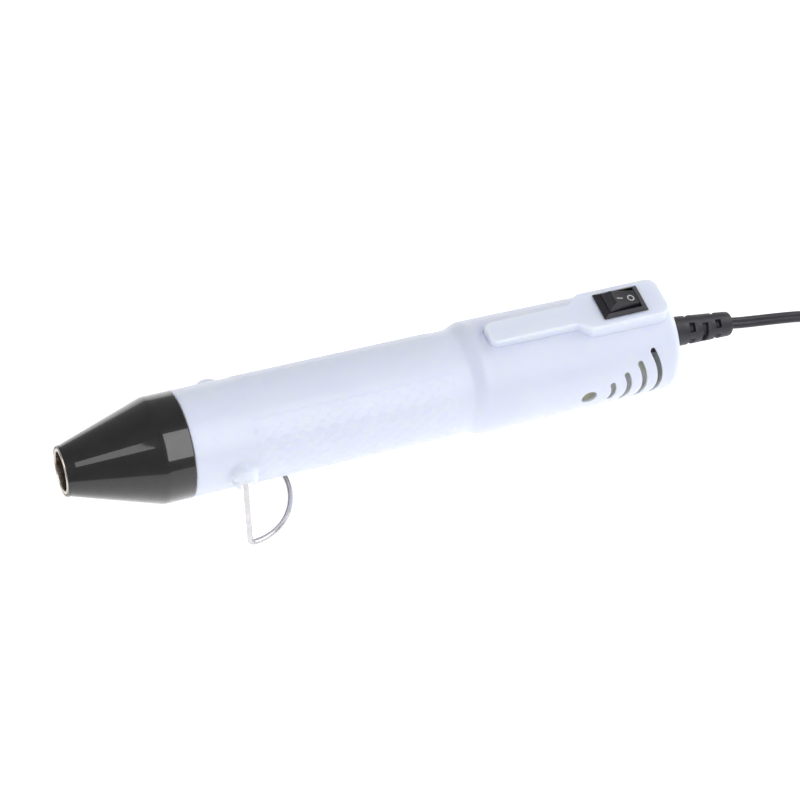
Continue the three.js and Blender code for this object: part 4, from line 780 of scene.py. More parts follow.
@dataclass
class Housing:
    """White moulded body: barrel, thicker grip, switch panel, side bosses and vents."""

    front: float = 52.15 * MM
    step_start: float = 177.5 * MM
    step_length: float = 8 * MM
    rear: float = 277 * MM
    barrel_front_radius: float = 23.2 * MM
    barrel_rear_radius: float = 22.8 * MM
    grip_front_radius: float = 25 * MM
    grip_rear_radius: float = 23.9 * MM
    rear_fillet: float = 3.5 * MM
    wall: float = 2.2 * MM
    grip_wall: float = 1.3 * MM
    rear_wall: float = 2.6 * MM
    cord_hole_radius: float = 5.3 * MM
    columns: int = 240
    # Relief of the barrel
    relief_start: float = 80 * MM
    relief_end: float = 170 * MM
    relief_pitch: float = 7.2 * MM
    relief_height: float = 0.28 * MM
    relief_clear_deg: float = 27.0
    relief_count_round: int = 26
    # Switch panel
    panel_height: float = 28.3 * MM
    panel_front: float = 190 * MM
    panel_rear: float = 273.4 * MM
    strip_half: float = 5.9 * MM
    wide_half: float = 10.4 * MM
    neck_start: float = 229 * MM
    neck_length: float = 8 * MM
    panel_front_corner: float = 3.4 * MM
    panel_rear_corner: float = 4.76 * MM
    panel_rounding: float = 0.8 * MM
    # Switch hole
    switch_station: float = 252.8 * MM
    switch_half: tuple[float, float] = (9.7 * MM, 6.6 * MM)
    # Bosses
    boss_radius: float = 5.7 * MM
    boss_reach: float = 27.9 * MM
    boss_height: float = 4.3 * MM
    boss_crown: float = 1.6 * MM
    boss_foot: float = 2.2 * MM
    boss_notch_half: float = 2.6 * MM
    pin_bore_radius: float = 1.45 * MM
    pin_bore_start: float = 17 * MM
    pin_bore_depth: float = 8.4 * MM
    slot_middle: float = 25.9 * MM
    slot_half: float = 1.55 * MM
    slot_forward_deg: float = 93.0
    slot_rearward_deg: float = 36.0
    # Vents
    vent_station: float = 232.5 * MM
    vent_drop: float = 1.2 * MM
    vent_hole_radius: float = 3.65 * MM
    vent_first_arc: float = 11.8 * MM
    vent_pitch: float = 7.45 * MM
    vent_count: int = 4
    vent_slot: float = 2.5 * MM
    vent_half_deg: float = 29.5

    def build(self) -> bpy.types.Object:
        """Build the housing and stand it in place."""
        shell = spun("housing_shell", self.outer_profile(), self.columns)
        self.raise_grip(shell)
        combine(shell, self.panel(), Joining.UNION)
        for side in (-1, 1):
            combine(shell, self.boss(side), Joining.UNION)
        combine(shell, spun("housing_hollow", self.hollow_profile(), self.columns), Joining.DIFFERENCE)
        combine(shell, join(self.cutters(), "housing_cutters"), Joining.DIFFERENCE)
        smooth(stand_up(shell), 32.0)
        even_normals(shell)
        return settle(shell, SHELL_WHITE, Body.TOOL, "housing")

    def outer_radius(self, station: float) -> float:
        """Outer radius of the plain shell at a station."""
        if station <= self.step_start:
            share = (station - self.front) / (self.step_start - self.front)
            return self.barrel_front_radius + (self.barrel_rear_radius - self.barrel_front_radius) * share
        if station <= self.step_start + self.step_length:
            share = eased((station - self.step_start) / self.step_length)
            return self.barrel_rear_radius + (self.grip_front_radius - self.barrel_rear_radius) * share
        start = self.step_start + self.step_length
        share = (station - start) / (self.rear - start)
        return self.grip_front_radius + (self.grip_rear_radius - self.grip_front_radius) * share

    def outer_profile(self) -> list[Station]:
        """Profile of the solid shell, finely divided where the grip's relief is raised."""
        edge = 0.35 * MM
        stations = [
            *np.linspace(self.front + edge, self.relief_start - 2 * MM, 9, endpoint=False),
            *np.arange(self.relief_start - 2 * MM, self.relief_end + 2 * MM, 0.72 * MM),
            *np.linspace(self.relief_end + 2 * MM, self.step_start, 4, endpoint=False),
            *np.linspace(self.step_start, self.step_start + self.step_length, 12, endpoint=False),
            *np.linspace(self.step_start + self.step_length, self.rear - self.rear_fillet - 0.3 * MM, 24),
        ]
        outer = [(self.front, 0.0), (self.front, self.barrel_front_radius - edge)]
        outer += [(station, self.outer_radius(station)) for station in stations]
        middle = (self.rear - self.rear_fillet, self.outer_radius(self.rear) - self.rear_fillet)
        for angle in np.linspace(math.pi / 2, 0.0, 10):
            along, out = self.rear_fillet * math.cos(angle), self.rear_fillet * math.sin(angle)
            outer.append((middle[0] + along, middle[1] + out))
        return [*outer, (self.rear, 0.0)]

    def hollow_profile(self) -> list[Station]:
        """Profile of the hollow inside, open at the front and at the cord's hole."""
        inner_end = self.rear - self.rear_wall
        start = self.step_start + self.step_length
        return [
            (self.front - 1 * MM, 0.0),
            (self.front - 1 * MM, self.barrel_front_radius - self.wall),
            (self.front, self.barrel_front_radius - self.wall),
            (self.step_start, self.barrel_rear_radius - self.wall),
            (start, self.grip_front_radius - self.grip_wall),
            (inner_end - 1.5 * MM, self.grip_rear_radius - self.grip_wall),
            (inner_end, self.grip_rear_radius - self.grip_wall - 1.5 * MM),
            (inner_end, self.cord_hole_radius),
            (self.rear - 0.3 * MM, self.cord_hole_radius),
            (self.rear + 0.1 * MM, self.cord_hole_radius + 0.4 * MM),
            (self.rear + 0.1 * MM, 0.0),
        ]

    def panel(self) -> bpy.types.Object:
        """Switch panel: a narrow strip that swells round the switch, with rounded upper edges."""
        low = self.grip_rear_radius - 3 * self.wall
        outline: list[Point] = []
        half_plan = self.panel_half_plan()
        for across in (-1, 1):
            for station, width in half_plan[::-across]:
                outline.append((station, across * width, low))
        piece = prism("switch_panel", outline, Vector((0, 0, self.panel_height - low)))
        return bevel(piece, self.panel_rounding, 4, 50.0)

    def panel_half_plan(self) -> list[Station]:
        """Half of the panel's outline in plan, from its front to its rear."""
        front = self.panel_end(self.panel_front, self.strip_half, self.panel_front_corner, 1)
        rear = self.panel_end(self.panel_rear, self.wide_half, self.panel_rear_corner, -1)
        growth = self.wide_half - self.strip_half
        swell = [
            (self.neck_start + self.neck_length * share, self.strip_half + growth * eased(share))
            for share in np.linspace(0, 1, 19)
        ]
        return [*front, *swell, *rear]

    def panel_end(self, station: float, half: float, corner: float, inward: int) -> list[Station]:
        """Rounded corner at one end of the panel's half outline.

        Args:
            station: where the panel ends.
            half: half of its width there.
            corner: radius of the corner.
            inward: 1 at the front end and -1 at the rear one.

        Returns:
            The corner's points, from front to rear.
        """
        turns = np.linspace(0, math.pi / 2, 9)[::-inward]
        return [
            (station + inward * corner * (1 - math.sin(turn)), half - corner * (1 - math.cos(turn)))
            for turn in turns
        ]

    def relief_rise(self, station: float, from_top_deg: float) -> float:
        """Height of the shingle relief at a point of the barrel.

        Args:
            station: place along the tool.
            from_top_deg: angle from the top line, either side.

        Returns:
            Height above the plain shell.
        """
        along = (station - self.relief_start) / self.relief_pitch
        around = from_top_deg / 360.0 * self.relief_count_round
        count = (self.relief_end - self.relief_start) / self.relief_pitch
        if along < 0 or along > count or from_top_deg < self.relief_clear_deg:
            return 0.0
        best = 0.0
        for shift in (0.0, 0.5):
            u = (along + shift) % 1.0
            v = (around + shift) % 1.0 - 0.5
            reach = 1.0 - 2 * abs(v)
            if reach <= 0.0:
                continue
            tip = 0.15 + 0.85 * reach
            rise = u / tip if u < tip else max(0.0, 1.0 - (u - tip) / 0.12)
            best = max(best, rise * min(1.0, reach * 2.2))
        fade = min(1.0, (from_top_deg - self.relief_clear_deg) / 3.0)
        return self.relief_height * best * fade

    def raise_grip(self, shell: bpy.types.Object) -> None:
        """Raise the shingle relief out of the plain shell."""
        for vertex in shell.data.vertices:
            station, across, up = vertex.co
            radius = math.hypot(across, up)
            if radius < self.outer_radius(station) - 0.5 * self.wall:
                continue
            rise = self.relief_rise(station, abs(math.degrees(math.atan2(across, up))))
            grown = (radius + rise) / radius
            vertex.co = (station, across * grown, up * grown)

    def boss(self, side: int) -> bpy.types.Object:
        """Side boss with a domed cap and a foot that runs out into the shell.

        Args:
            side: -1 for the near side, 1 for the far one.

        Returns:
            The boss, slotted for the wire.
        """
        root = self.barrel_front_radius - self.wall * 0.8
        crown = self.boss_crown
        top = Vector((self.boss_radius - 1.5 * crown, self.boss_reach))
        brow = Vector((self.boss_radius - 0.15 * crown, self.boss_reach - 0.4 * crown))
        side_top = Vector((self.boss_radius, self.boss_reach - crown))
        profile = [(0.0, self.boss_reach)]
        for share in np.linspace(0, 1, 9):
            profile.append(tuple(top.lerp(brow, share).lerp(brow.lerp(side_top, share), share)))
        foot_top = self.boss_reach - self.boss_height
        profile.append((self.boss_radius, foot_top + 1.4 * MM))
        rings = 7
        for index in range(rings + 1):
            turn = math.pi / 2 * index / rings
            out = self.boss_foot * (1 - math.cos(turn))
            profile.append((self.boss_radius + out, foot_top - index * 0.01 * MM))
        profile.append((self.boss_radius + self.boss_foot, root))
        profile.append((0.0, root))
        stations = [(reach, radius) for radius, reach in profile]
        boss = spun(f"boss_{side}", stations, 72)
        for vertex in boss.data.vertices:
            reach, across, up = vertex.co
            radius = math.hypot(across, up)
            on_foot = root + 0.1 * MM < reach < foot_top + 0.4 * MM
            if radius > self.boss_radius - 0.05 * MM and on_foot:
                share = min(1.0, max(0.0, (radius - self.boss_radius) / self.boss_foot))
                turn = math.acos(1 - share)
                shell_here = math.sqrt(self.barrel_front_radius**2 - up**2) - 0.1 * MM
                vertex.co.x = shell_here + self.boss_foot * (1 - math.sin(turn)) * 0.75
        transform_mesh(boss, Matrix.Rotation(side * math.pi / 2, 4, "Z"))
        transform_mesh(boss, Matrix.Translation((BOSS_STATION, 0, 0)))
        combine(boss, self.swing_slot(side), Joining.DIFFERENCE)
        return combine(boss, self.cap_notch(side), Joining.DIFFERENCE)

    def swing_slot(self, side: int) -> bpy.types.Object:
        """Wedge in which a leg of the wire swings inside its boss."""
        half = self.slot_half
        reach = self.boss_radius * 1.9
        forward = -math.radians(self.slot_forward_deg)
        rearward = math.radians(self.slot_rearward_deg)

        def down(angle: float, length: float) -> Vector:
            """Vector at an angle from straight down, towards the rear."""
            return Vector((math.sin(angle) * length, 0, -math.cos(angle) * length))

        ahead = down(forward - math.pi / 2, half)
        behind = down(rearward + math.pi / 2, half)
        outline = [ahead, down(forward, reach) + ahead]
        outline += [down(angle, reach * 1.15) for angle in np.linspace(forward, rearward, 9)]
        outline.append(down(rearward, reach) + behind)
        turns = np.linspace(rearward + math.pi / 2, forward + 1.5 * math.pi, 9)[:-1]
        outline += [down(angle, half) for angle in turns]
        middle = Vector((BOSS_STATION, side * self.slot_middle - half, 0))
        return prism("swing_slot", [tuple(middle + point) for point in outline], Vector((0, 2 * half, 0)))

    def cap_notch(self, side: int) -> bpy.types.Object:
        """Notch in the lower edge of a boss's cap, where the wire shows."""
        half = self.boss_notch_half
        low = -2 * self.boss_radius
        rounding = 0.8 * MM
        outline = [(-half, low), (half, low)]
        for side_of_wire in (1, -1):
            turns = np.linspace(0, math.pi / 2, 5)
            for turn in turns[::side_of_wire]:
                along = half - rounding * (1 - math.cos(turn))
                outline.append((side_of_wire * along, -rounding * (1 - math.sin(turn))))
        tilt = Matrix.Rotation(-TOOL_TILT, 4, "Y")
        points = []
        for along, up in outline:
            point = tilt @ Vector((along, 0, up))
            points.append((point.x + BOSS_STATION, side * self.slot_middle, point.z))
        return prism("cap_notch", points, Vector((0, side * 4 * MM, 0)))

    def cutters(self) -> list[bpy.types.Object]:
        """Cutters for the switch hole, the pin bores and the vents."""
        half = self.switch_half
        hole = block(
            "switch_hole",
            (self.switch_station - half[0], -half[1], 8 * MM),
            (self.switch_station + half[0], half[1], self.panel_height + 2 * MM),
        )
        cutters = [hole]
        for side in (-1, 1):
            inside = Vector((BOSS_STATION, side * self.pin_bore_start, 0))
            outside = inside + Vector((0, side * self.pin_bore_depth, 0))
            cutters.append(bar("pin_bore", inside, outside, self.pin_bore_radius))
            inside = Vector((self.vent_station, side * 15 * MM, -self.vent_drop))
            outside = inside + Vector((0, side * 12 * MM, 0))
            cutters.append(bar("vent_hole", inside, outside, self.vent_hole_radius, 64))
            cutters += [self.vent_arc(side, index) for index in range(self.vent_count)]
        return cutters

    def vent_arc(self, side: int, index: int) -> bpy.types.Object:
        """Cutter for one curved vent slot with round ends.

        Args:
            side: -1 for the near side, 1 for the far one.
            index: place of the slot, counted from the round hole.

        Returns:
            The cutter.
        """
        radius = self.vent_first_arc + index * self.vent_pitch
        width = self.vent_slot / 2
        half = math.radians(self.vent_half_deg) - width / radius
        points = []
        for angle in np.linspace(-half, half, 22):
            points.append(((radius + width) * math.cos(angle), (radius + width) * math.sin(angle)))
        tip = (radius * math.cos(half), radius * math.sin(half))
        for angle in np.linspace(half, half + math.pi, 10)[1:-1]:
            points.append((tip[0] + width * math.cos(angle), tip[1] + width * math.sin(angle)))
        for angle in np.linspace(half, -half, 22):
            points.append(((radius - width) * math.cos(angle), (radius - width) * math.sin(angle)))
        for angle in np.linspace(math.pi - half, 2 * math.pi - half, 10)[1:-1]:
            points.append((tip[0] + width * math.cos(angle), -tip[1] + width * math.sin(angle)))
        outline = [(self.vent_station + along, side * 8 * MM, up - self.vent_drop) for along, up in points]
        return prism("vent_arc", outline, Vector((0, side * 19 * MM, 0)))


# Nozzle and heater tube


@dataclass
class Nozzle:
    """Black enamelled nozzle and the steel tube whose rolled lip shows in its mouth."""

    length: float = 51.85 * MM
    cone_length: float = 39.8 * MM
    mouth_radius: float = 11.1 * MM
    neck_length: float = 1.6 * MM
    radius: float = 23.3 * MM
    sheet: float = 0.8 * MM
    tube_radius: float = 18.2 * MM
    tube_end: float = 105.7 * MM
    tube_sheet: float = 0.6 * MM
    lip_radius: float = 8.5 * MM
    lip_length: float = 2.2 * MM
    columns: int = 144

    def build(self) -> list[bpy.types.Object]:
        """Build the nozzle and the heater tube."""
        nozzle = stand_up(spun("nozzle_shell", self.shell_profile(), self.columns))
        tube = stand_up(spun("heater_tube_drawn", self.tube_profile(), self.columns))
        smooth(nozzle, 40.0)
        smooth(tube, 40.0)
        return [
            settle(nozzle, NOZZLE_ENAMEL, Body.TOOL, "nozzle"),
            settle(tube, TUBE_STEEL, Body.TOOL, "heater_tube"),
        ]

    def shell_profile(self) -> list[Station]:
        """Profile of the nozzle: neck, cone, rounded shoulder and skirt."""
        slope = math.atan2(self.radius - self.mouth_radius, self.cone_length - self.neck_length)
        bend = 9 * MM
        cut = bend * math.tan(slope / 2)
        shoulder = (self.cone_length + cut, self.radius - bend)
        outer = [(0.35 * MM, self.mouth_radius), (self.neck_length, self.mouth_radius)]
        for share in np.linspace(0.08, 0.9, 8):
            along = self.neck_length + (self.cone_length - self.neck_length) * share
            outer.append((along, self.mouth_radius + (self.radius - self.mouth_radius) * share))
        for angle in np.linspace(slope, 0.0, 9):
            outer.append((shoulder[0] - bend * math.sin(angle), shoulder[1] + bend * math.cos(angle)))
        edge = 0.25 * MM
        outer += [(self.length - edge, self.radius), (self.length, self.radius - edge)]
        inner = [
            (self.length, self.radius - self.sheet),
            (self.cone_length + 0.5 * MM, self.radius - self.sheet),
            (self.neck_length, self.mouth_radius - self.sheet),
            (0.3 * MM, self.mouth_radius - self.sheet),
            (0.05 * MM, self.mouth_radius - self.sheet * 0.75),
            (0.0, self.mouth_radius - self.sheet * 0.5),
            (0.08 * MM, self.mouth_radius - self.sheet * 0.2),
        ]
        return [*outer, *inner, outer[0]]

    def tube_profile(self) -> list[Station]:
        """Profile of the heater tube with its rolled lip."""
        lip_outer = self.mouth_radius - self.sheet - SEAT_GAP
        thick = (lip_outer - self.lip_radius) / 2
        middle = (lip_outer + self.lip_radius) / 2
        front = -0.3 * MM + thick
        outer = [
            (self.lip_length, self.lip_radius + self.tube_sheet + 0.4 * MM),
            (self.lip_length - 0.4 * MM, lip_outer),
        ]
        roll = [
            (front - thick * math.sin(angle), middle + thick * math.cos(angle))
            for angle in np.linspace(0, math.pi, 13)
        ]
        inner = [
            (self.lip_length + 2.2 * MM, self.lip_radius),
            (self.cone_length, self.tube_radius - self.tube_sheet),
            (self.tube_end, self.tube_radius - self.tube_sheet),
            (self.tube_end, self.tube_radius),
            (self.cone_length, self.tube_radius),
            (self.lip_length + 2 * MM, self.lip_radius + self.tube_sheet),
        ]
        return [*outer, *roll, *inner, outer[0]]


# Wire stand


@dataclass
class WireStand:
    """Bent steel wire with its two ends hinged in the bosses and a half-ring foot."""

    wire_radius: float = 1.25 * MM
    half_width: float = 25.9 * MM
    bend: float = 2.6 * MM
    pin_inset: float = 19.7 * MM

    def build(self) -> bpy.types.Object:
        """Sweep the wire along its bends."""
        wire = swept("bent_wire_stand", self.route(), radius=self.wire_radius, resolution=7)
        smooth(wire, 50.0)
        return settle(wire, BRIGHT_STEEL, Body.STAND, "bail")

    @property
    def leg(self) -> float:
        """Height of the hinge above the middle of the wire's foot."""
        return PIVOT.z - self.wire_radius

    def side_route(self, side: int) -> list[Vector]:
        """Pin and leg of one side, down to where the foot starts.

        Args:
            side: -1 for the near side, 1 for the far one.

        Returns:
            Points from the pin down, counted from the hinge.
        """
        shoulder = self.bend * 0.6
        points = [Vector((0, side * self.pin_inset, 0))]
        for angle in np.linspace(0, math.pi / 2, 9):
            across = self.half_width - shoulder + shoulder * math.sin(angle)
            points.append(Vector((0, side * across, -shoulder * (1 - math.cos(angle)))))
        for angle in np.linspace(0, math.pi / 2, 11):
            along = self.bend * (1 - math.cos(angle))
            height = -self.leg + self.bend * (1 - math.sin(angle))
            points.append(Vector((along, side * self.half_width, height)))
        return points

    def route(self) -> list[Vector]:
        """Centre line of the wire on the table: pin, leg, foot, leg, pin."""
        points = self.side_route(-1)
        depth = self.half_width - self.bend
        for angle in np.linspace(0, math.pi, 61)[1:-1]:
            along = self.bend + depth * math.sin(angle)
            points.append(Vector((along, -self.half_width * math.cos(angle), -self.leg)))
        points += reversed(self.side_route(1))
        return [PIVOT + point for point in points]


# Rocker switch


@dataclass
class PowerSwitch:
    """Black rocker switch: bevelled frame, dipped rocker and its I and O marks."""

    station: float = 252.8 * MM
    seat: float = 28.6 * MM
    frame_size: tuple[float, float, float] = (21 * MM, 14.4 * MM, 1.7 * MM)
    frame_edge: float = 0.5 * MM
    frame_slope: tuple[float, float] = (2.5 * MM, 1.4 * MM)
    body_size: tuple[float, float] = (18.8 * MM, 12.6 * MM)
    body_floor: float = 15.7 * MM
    slot_floor: float = 20.3 * MM
    pivot_height: float = 27.3 * MM
    rocker_width: float = 10.4 * MM
    rocker_top_width: float = 7.3 * MM
    top_half: float = 6 * MM
    rocker_height: float = 5.3 * MM
    rocker_foot: float = 4.4 * MM
    dip: float = 0.45 * MM
    pin_radius: float = 0.9 * MM
    tilt_deg: float = 15.0
    # Printed marks, from the pivot
    mark_thickness: float = 0.08 * MM
    mark_shift: float = -0.6 * MM
    ring_station: float = 3.1 * MM
    ring_radii: tuple[float, float] = (1.65 * MM, 1.15 * MM)
    stroke_station: float = -2.6 * MM
    stroke_size: tuple[float, float] = (3 * MM, 0.5 * MM)

    @property
    def end_radius(self) -> float:
        """Radius of the rocker's ends, struck round its pivot."""
        return math.hypot(self.top_half, self.rocker_height)

    def build(self) -> list[bpy.types.Object]:
        """Build the frame, the rocker and its marks."""
        frame_piece = self.switch_frame()
        rocker = self.rocker()
        marks = self.marks()
        return [
            settle(frame_piece, SWITCH_BLACK, Body.TOOL, "switch_body"),
            settle(rocker, SWITCH_BLACK, Body.ROCKER, "switch_rocker"),
            settle(marks, MARK_WHITE, Body.ROCKER),
        ]

    def switch_frame(self) -> bpy.types.Object:
        """Frame with sloping sides, on the body that passes through the panel."""
        long, wide, high = self.frame_size
        top = self.seat + high
        slope_foot = self.seat + self.frame_edge
        low = (self.station - long / 2, -wide / 2, self.seat)
        piece = block("switch_frame", low, (self.station + long / 2, wide / 2, top))
        cut_level(piece, slope_foot)
        for vertex in piece.data.vertices:
            if vertex.co.z > slope_foot + 0.1 * MM:
                vertex.co.x += math.copysign(self.frame_slope[0], self.station - vertex.co.x)
                vertex.co.y += math.copysign(self.frame_slope[1], -vertex.co.y)
        bevel(piece, 0.22 * MM, 2, 15.0)
        long, wide = self.body_size
        body = block(
            "switch_lower",
            (self.station - long / 2, -wide / 2, self.body_floor),
            (self.station + long / 2, wide / 2, self.seat + 0.4 * MM),
        )
        bevel(body, 0.3 * MM, 2, 60.0)
        combine(piece, body, Joining.UNION)
        combine(piece, self.slot(), Joining.DIFFERENCE)
        reach = Vector((0, self.body_size[1], 0))
        middle = Vector((self.station, 0, self.pivot_height))
        pin_hole = bar("pin_hole", middle - reach, middle + reach, self.pin_radius + SEAT_GAP)
        combine(piece, pin_hole, Joining.DIFFERENCE)
        smooth(stand_up(piece), 35.0)
        return even_normals(piece)

    def slot(self) -> bpy.types.Object:
        """Cutter for the slot in which the rocker swings, with ends struck round its pivot."""
        sweep = self.end_radius + SEAT_GAP
        top = self.seat + self.frame_size[2]
        wide = self.rocker_width / 2 + SEAT_GAP
        side = [(sweep, self.slot_floor)]
        for height in np.linspace(self.pivot_height, top, 7):
            side.append((math.sqrt(sweep**2 - (height - self.pivot_height) ** 2), height))
        side.append((side[-1][0], top + 1 * MM))
        outline = [(self.station + along, -wide, height) for along, height in side]
        outline += [(self.station - along, -wide, height) for along, height in side[::-1]]
        return bevel(prism("rocker_slot", outline, Vector((0, 2 * wide, 0))), 0.3 * MM, 3, 60.0)

    def top_height(self, along: float) -> float:
        """Height of the rocker's dipped top above its pivot."""
        share = (along + self.top_half) / (2 * self.top_half)
        return self.rocker_height - 4 * self.dip * share * (1 - share)

    def to_place(self, piece: bpy.types.Object) -> bpy.types.Object:
        """Take a piece from the level rocker's frame to its place on the table."""
        tilt = Matrix.Rotation(math.radians(self.tilt_deg), 4, "Y")
        lift = Matrix.Translation((self.station, 0, self.pivot_height))
        return transform_mesh(piece, TOOL_TO_WORLD @ lift @ tilt)

    def rocker(self) -> bpy.types.Object:
        """Rocker with a dipped top, ends struck round its pivot, leaning sides and two pins."""
        top = [(along, self.top_height(along)) for along in np.linspace(self.top_half, -self.top_half, 13)]
        steepest = math.atan2(self.rocker_height, self.top_half)
        ends = [
            (self.end_radius * math.cos(angle), self.end_radius * math.sin(angle))
            for angle in np.linspace(steepest, -0.4 * steepest, 9)[1:]
        ]
        far_end = [(-along, up) for along, up in ends]
        foot = [(-self.top_half / 2, -self.rocker_foot), (self.top_half / 2, -self.rocker_foot)]
        outline = [(x, -self.rocker_width / 2, z) for x, z in [*top, *far_end, *foot, *ends[::-1]]]
        piece = prism("rocker_cap", outline, Vector((0, self.rocker_width, 0)))
        self.lean_sides(piece)
        bevel(piece, 0.25 * MM, 3, 30.0)
        reach = Vector((0, self.body_size[1] / 2 - 0.1 * MM, 0))
        combine(piece, bar("rocker_pins", -reach, reach, self.pin_radius), Joining.UNION)
        smooth(self.to_place(piece), 35.0)
        return even_normals(piece)

    def lean_sides(self, piece: bpy.types.Object) -> None:
        """Lean the rocker's sides in above its pins."""
        cut_level(piece, self.pin_radius)
        slope = (self.rocker_width - self.rocker_top_width) / 2 / (self.rocker_height - self.pin_radius)
        for vertex in piece.data.vertices:
            inward = max(0.0, vertex.co.z - self.pin_radius) * slope
            vertex.co.y -= math.copysign(inward, vertex.co.y)

    def marks(self) -> bpy.types.Object:
        """Printed marks for on and off: a stroke along the rocker and a ring."""
        sunk = self.mark_thickness / 2
        ring = spun("mark_ring", ring_profile(-sunk, sunk, *self.ring_radii), 48)
        transform_mesh(ring, Matrix.Rotation(math.pi / 2, 4, "Y"))
        transform_mesh(ring, Matrix.Translation((self.ring_station, self.mark_shift, 0)))
        half = Vector((self.stroke_size[0], self.stroke_size[1], self.mark_thickness)) / 2
        middle = Vector((self.stroke_station, self.mark_shift, 0))
        stroke = block("mark_stroke", middle - half, middle + half)
        edit_whole(stroke)
        bpy.ops.mesh.subdivide(number_cuts=5)
        deselect_all()
        marks = join([ring, stroke], "rocker_marks")
        for vertex in marks.data.vertices:
            vertex.co.z += self.top_height(vertex.co.x)
        return self.to_place(marks)


# Strain relief


@dataclass
class StrainRelief:
    """Tapered rubber sleeve with staggered windows, and the neck that holds it in the rear wall."""

    rear: float = 277 * MM
    length: float = 35.5 * MM
    droop_deg: float = 6.3
    base_radius: float = 7.1 * MM
    end_radius: float = 5.5 * MM
    tip_rounding: float = 1.1 * MM
    neck_radius: float = 5 * MM
    flange_radius: float = 7.4 * MM
    flange_length: float = 2.6 * MM
    rear_wall: float = 2.6 * MM
    first_row: float = 14 * MM
    turn_deg: float = -13.0
    row_pitch: float = 6.8 * MM
    window_width: float = 2.9 * MM
    window_depth: float = 2.3 * MM
    # Half angles of the windows
    wide_window_deg: float = 39.0
    small_window_deg: float = 20.0
    long_window_deg: float = 58.0

    def cord_exit(self) -> Vector:
        """Middle of the sleeve's end, where the cord comes out, in the tool's frame."""
        droop = math.radians(self.droop_deg)
        reach = self.length + SEAT_GAP
        return Vector((self.rear + reach * math.cos(droop), 0, -reach * math.sin(droop)))

    def radius_at(self, along: float) -> float:
        """Radius of the plain sleeve at a distance from the housing."""
        return self.base_radius + (self.end_radius - self.base_radius) * along / self.length

    def build(self) -> bpy.types.Object:
        """Spin the sleeve, cut its windows and round their edges."""
        base = 1.2 * MM
        edge = 0.5 * MM
        tip = self.tip_rounding
        profile = [(base, 0.0), (base, self.base_radius - edge)]
        for angle in np.linspace(0, math.pi / 2, 5)[1:]:
            radius = self.base_radius - edge * (1 - math.sin(angle))
            profile.append((base + edge * (1 - math.cos(angle)), radius))
        for along in np.linspace(base + 2 * MM, self.length - tip - 0.3 * MM, 14):
            profile.append((along, self.radius_at(along)))
        for angle in np.linspace(0, math.pi / 2, 6):
            radius = self.end_radius - tip * (1 - math.cos(angle))
            profile.append((self.length - tip * (1 - math.sin(angle)), radius))
        profile.append((self.length, 0.0))
        sleeve = spun("strain_relief_sleeve", profile, 96)
        for row in range(3):
            for centre, half in self.windows(row):
                combine(sleeve, self.window(row, centre, half), Joining.DIFFERENCE)
        transform_mesh(sleeve, Matrix.Rotation(math.radians(self.droop_deg), 4, "Y"))
        transform_mesh(sleeve, Matrix.Translation((self.rear, 0, 0)))
        combine(sleeve, self.neck(), Joining.UNION)
        bevel(sleeve, 0.22 * MM, 2, 50.0)
        smooth(stand_up(sleeve), 35.0)
        return settle(sleeve, RELIEF_BLACK, Body.TOOL, "strain_relief")

    def windows(self, row: int) -> list[tuple[float, float]]:
        """Middles and half angles of the windows of a row, in degrees from the far side."""
        if row % 2 == 0:
            wide = [(centre + self.turn_deg, self.wide_window_deg) for centre in (45.0, 225.0)]
            return wide + [(centre + self.turn_deg, self.small_window_deg) for centre in (135.0, 315.0)]
        return [(centre + self.turn_deg, self.long_window_deg) for centre in (0.0, 180.0)]

    def window(self, row: int, centre: float, half: float) -> bpy.types.Object:
        """Cutter for one window.

        Args:
            row: its row, counted from the housing.
            centre: its middle, in degrees from the far side towards the top.
            half: half of its angle.

        Returns:
            The cutter.
        """
        middle = self.first_row + row * self.row_pitch
        inner = self.radius_at(middle) - self.window_depth
        start = middle - self.window_width / 2
        return sector((start, start + self.window_width), inner, self.base_radius + 2 * MM, centre, half)

    def neck(self) -> bpy.types.Object:
        """Neck through the rear wall, with the flange inside it."""
        inside = self.rear - self.rear_wall - SEAT_GAP
        start = inside - self.flange_length
        profile = [
            (start, 0.0),
            (start, self.flange_radius),
            (inside, self.flange_radius),
            (inside, self.neck_radius),
            (self.rear + 3 * MM, self.neck_radius),
            (self.rear + 3 * MM, 0.0),
        ]
        return spun("relief_neck", profile, 64)


# Mains cord and plug


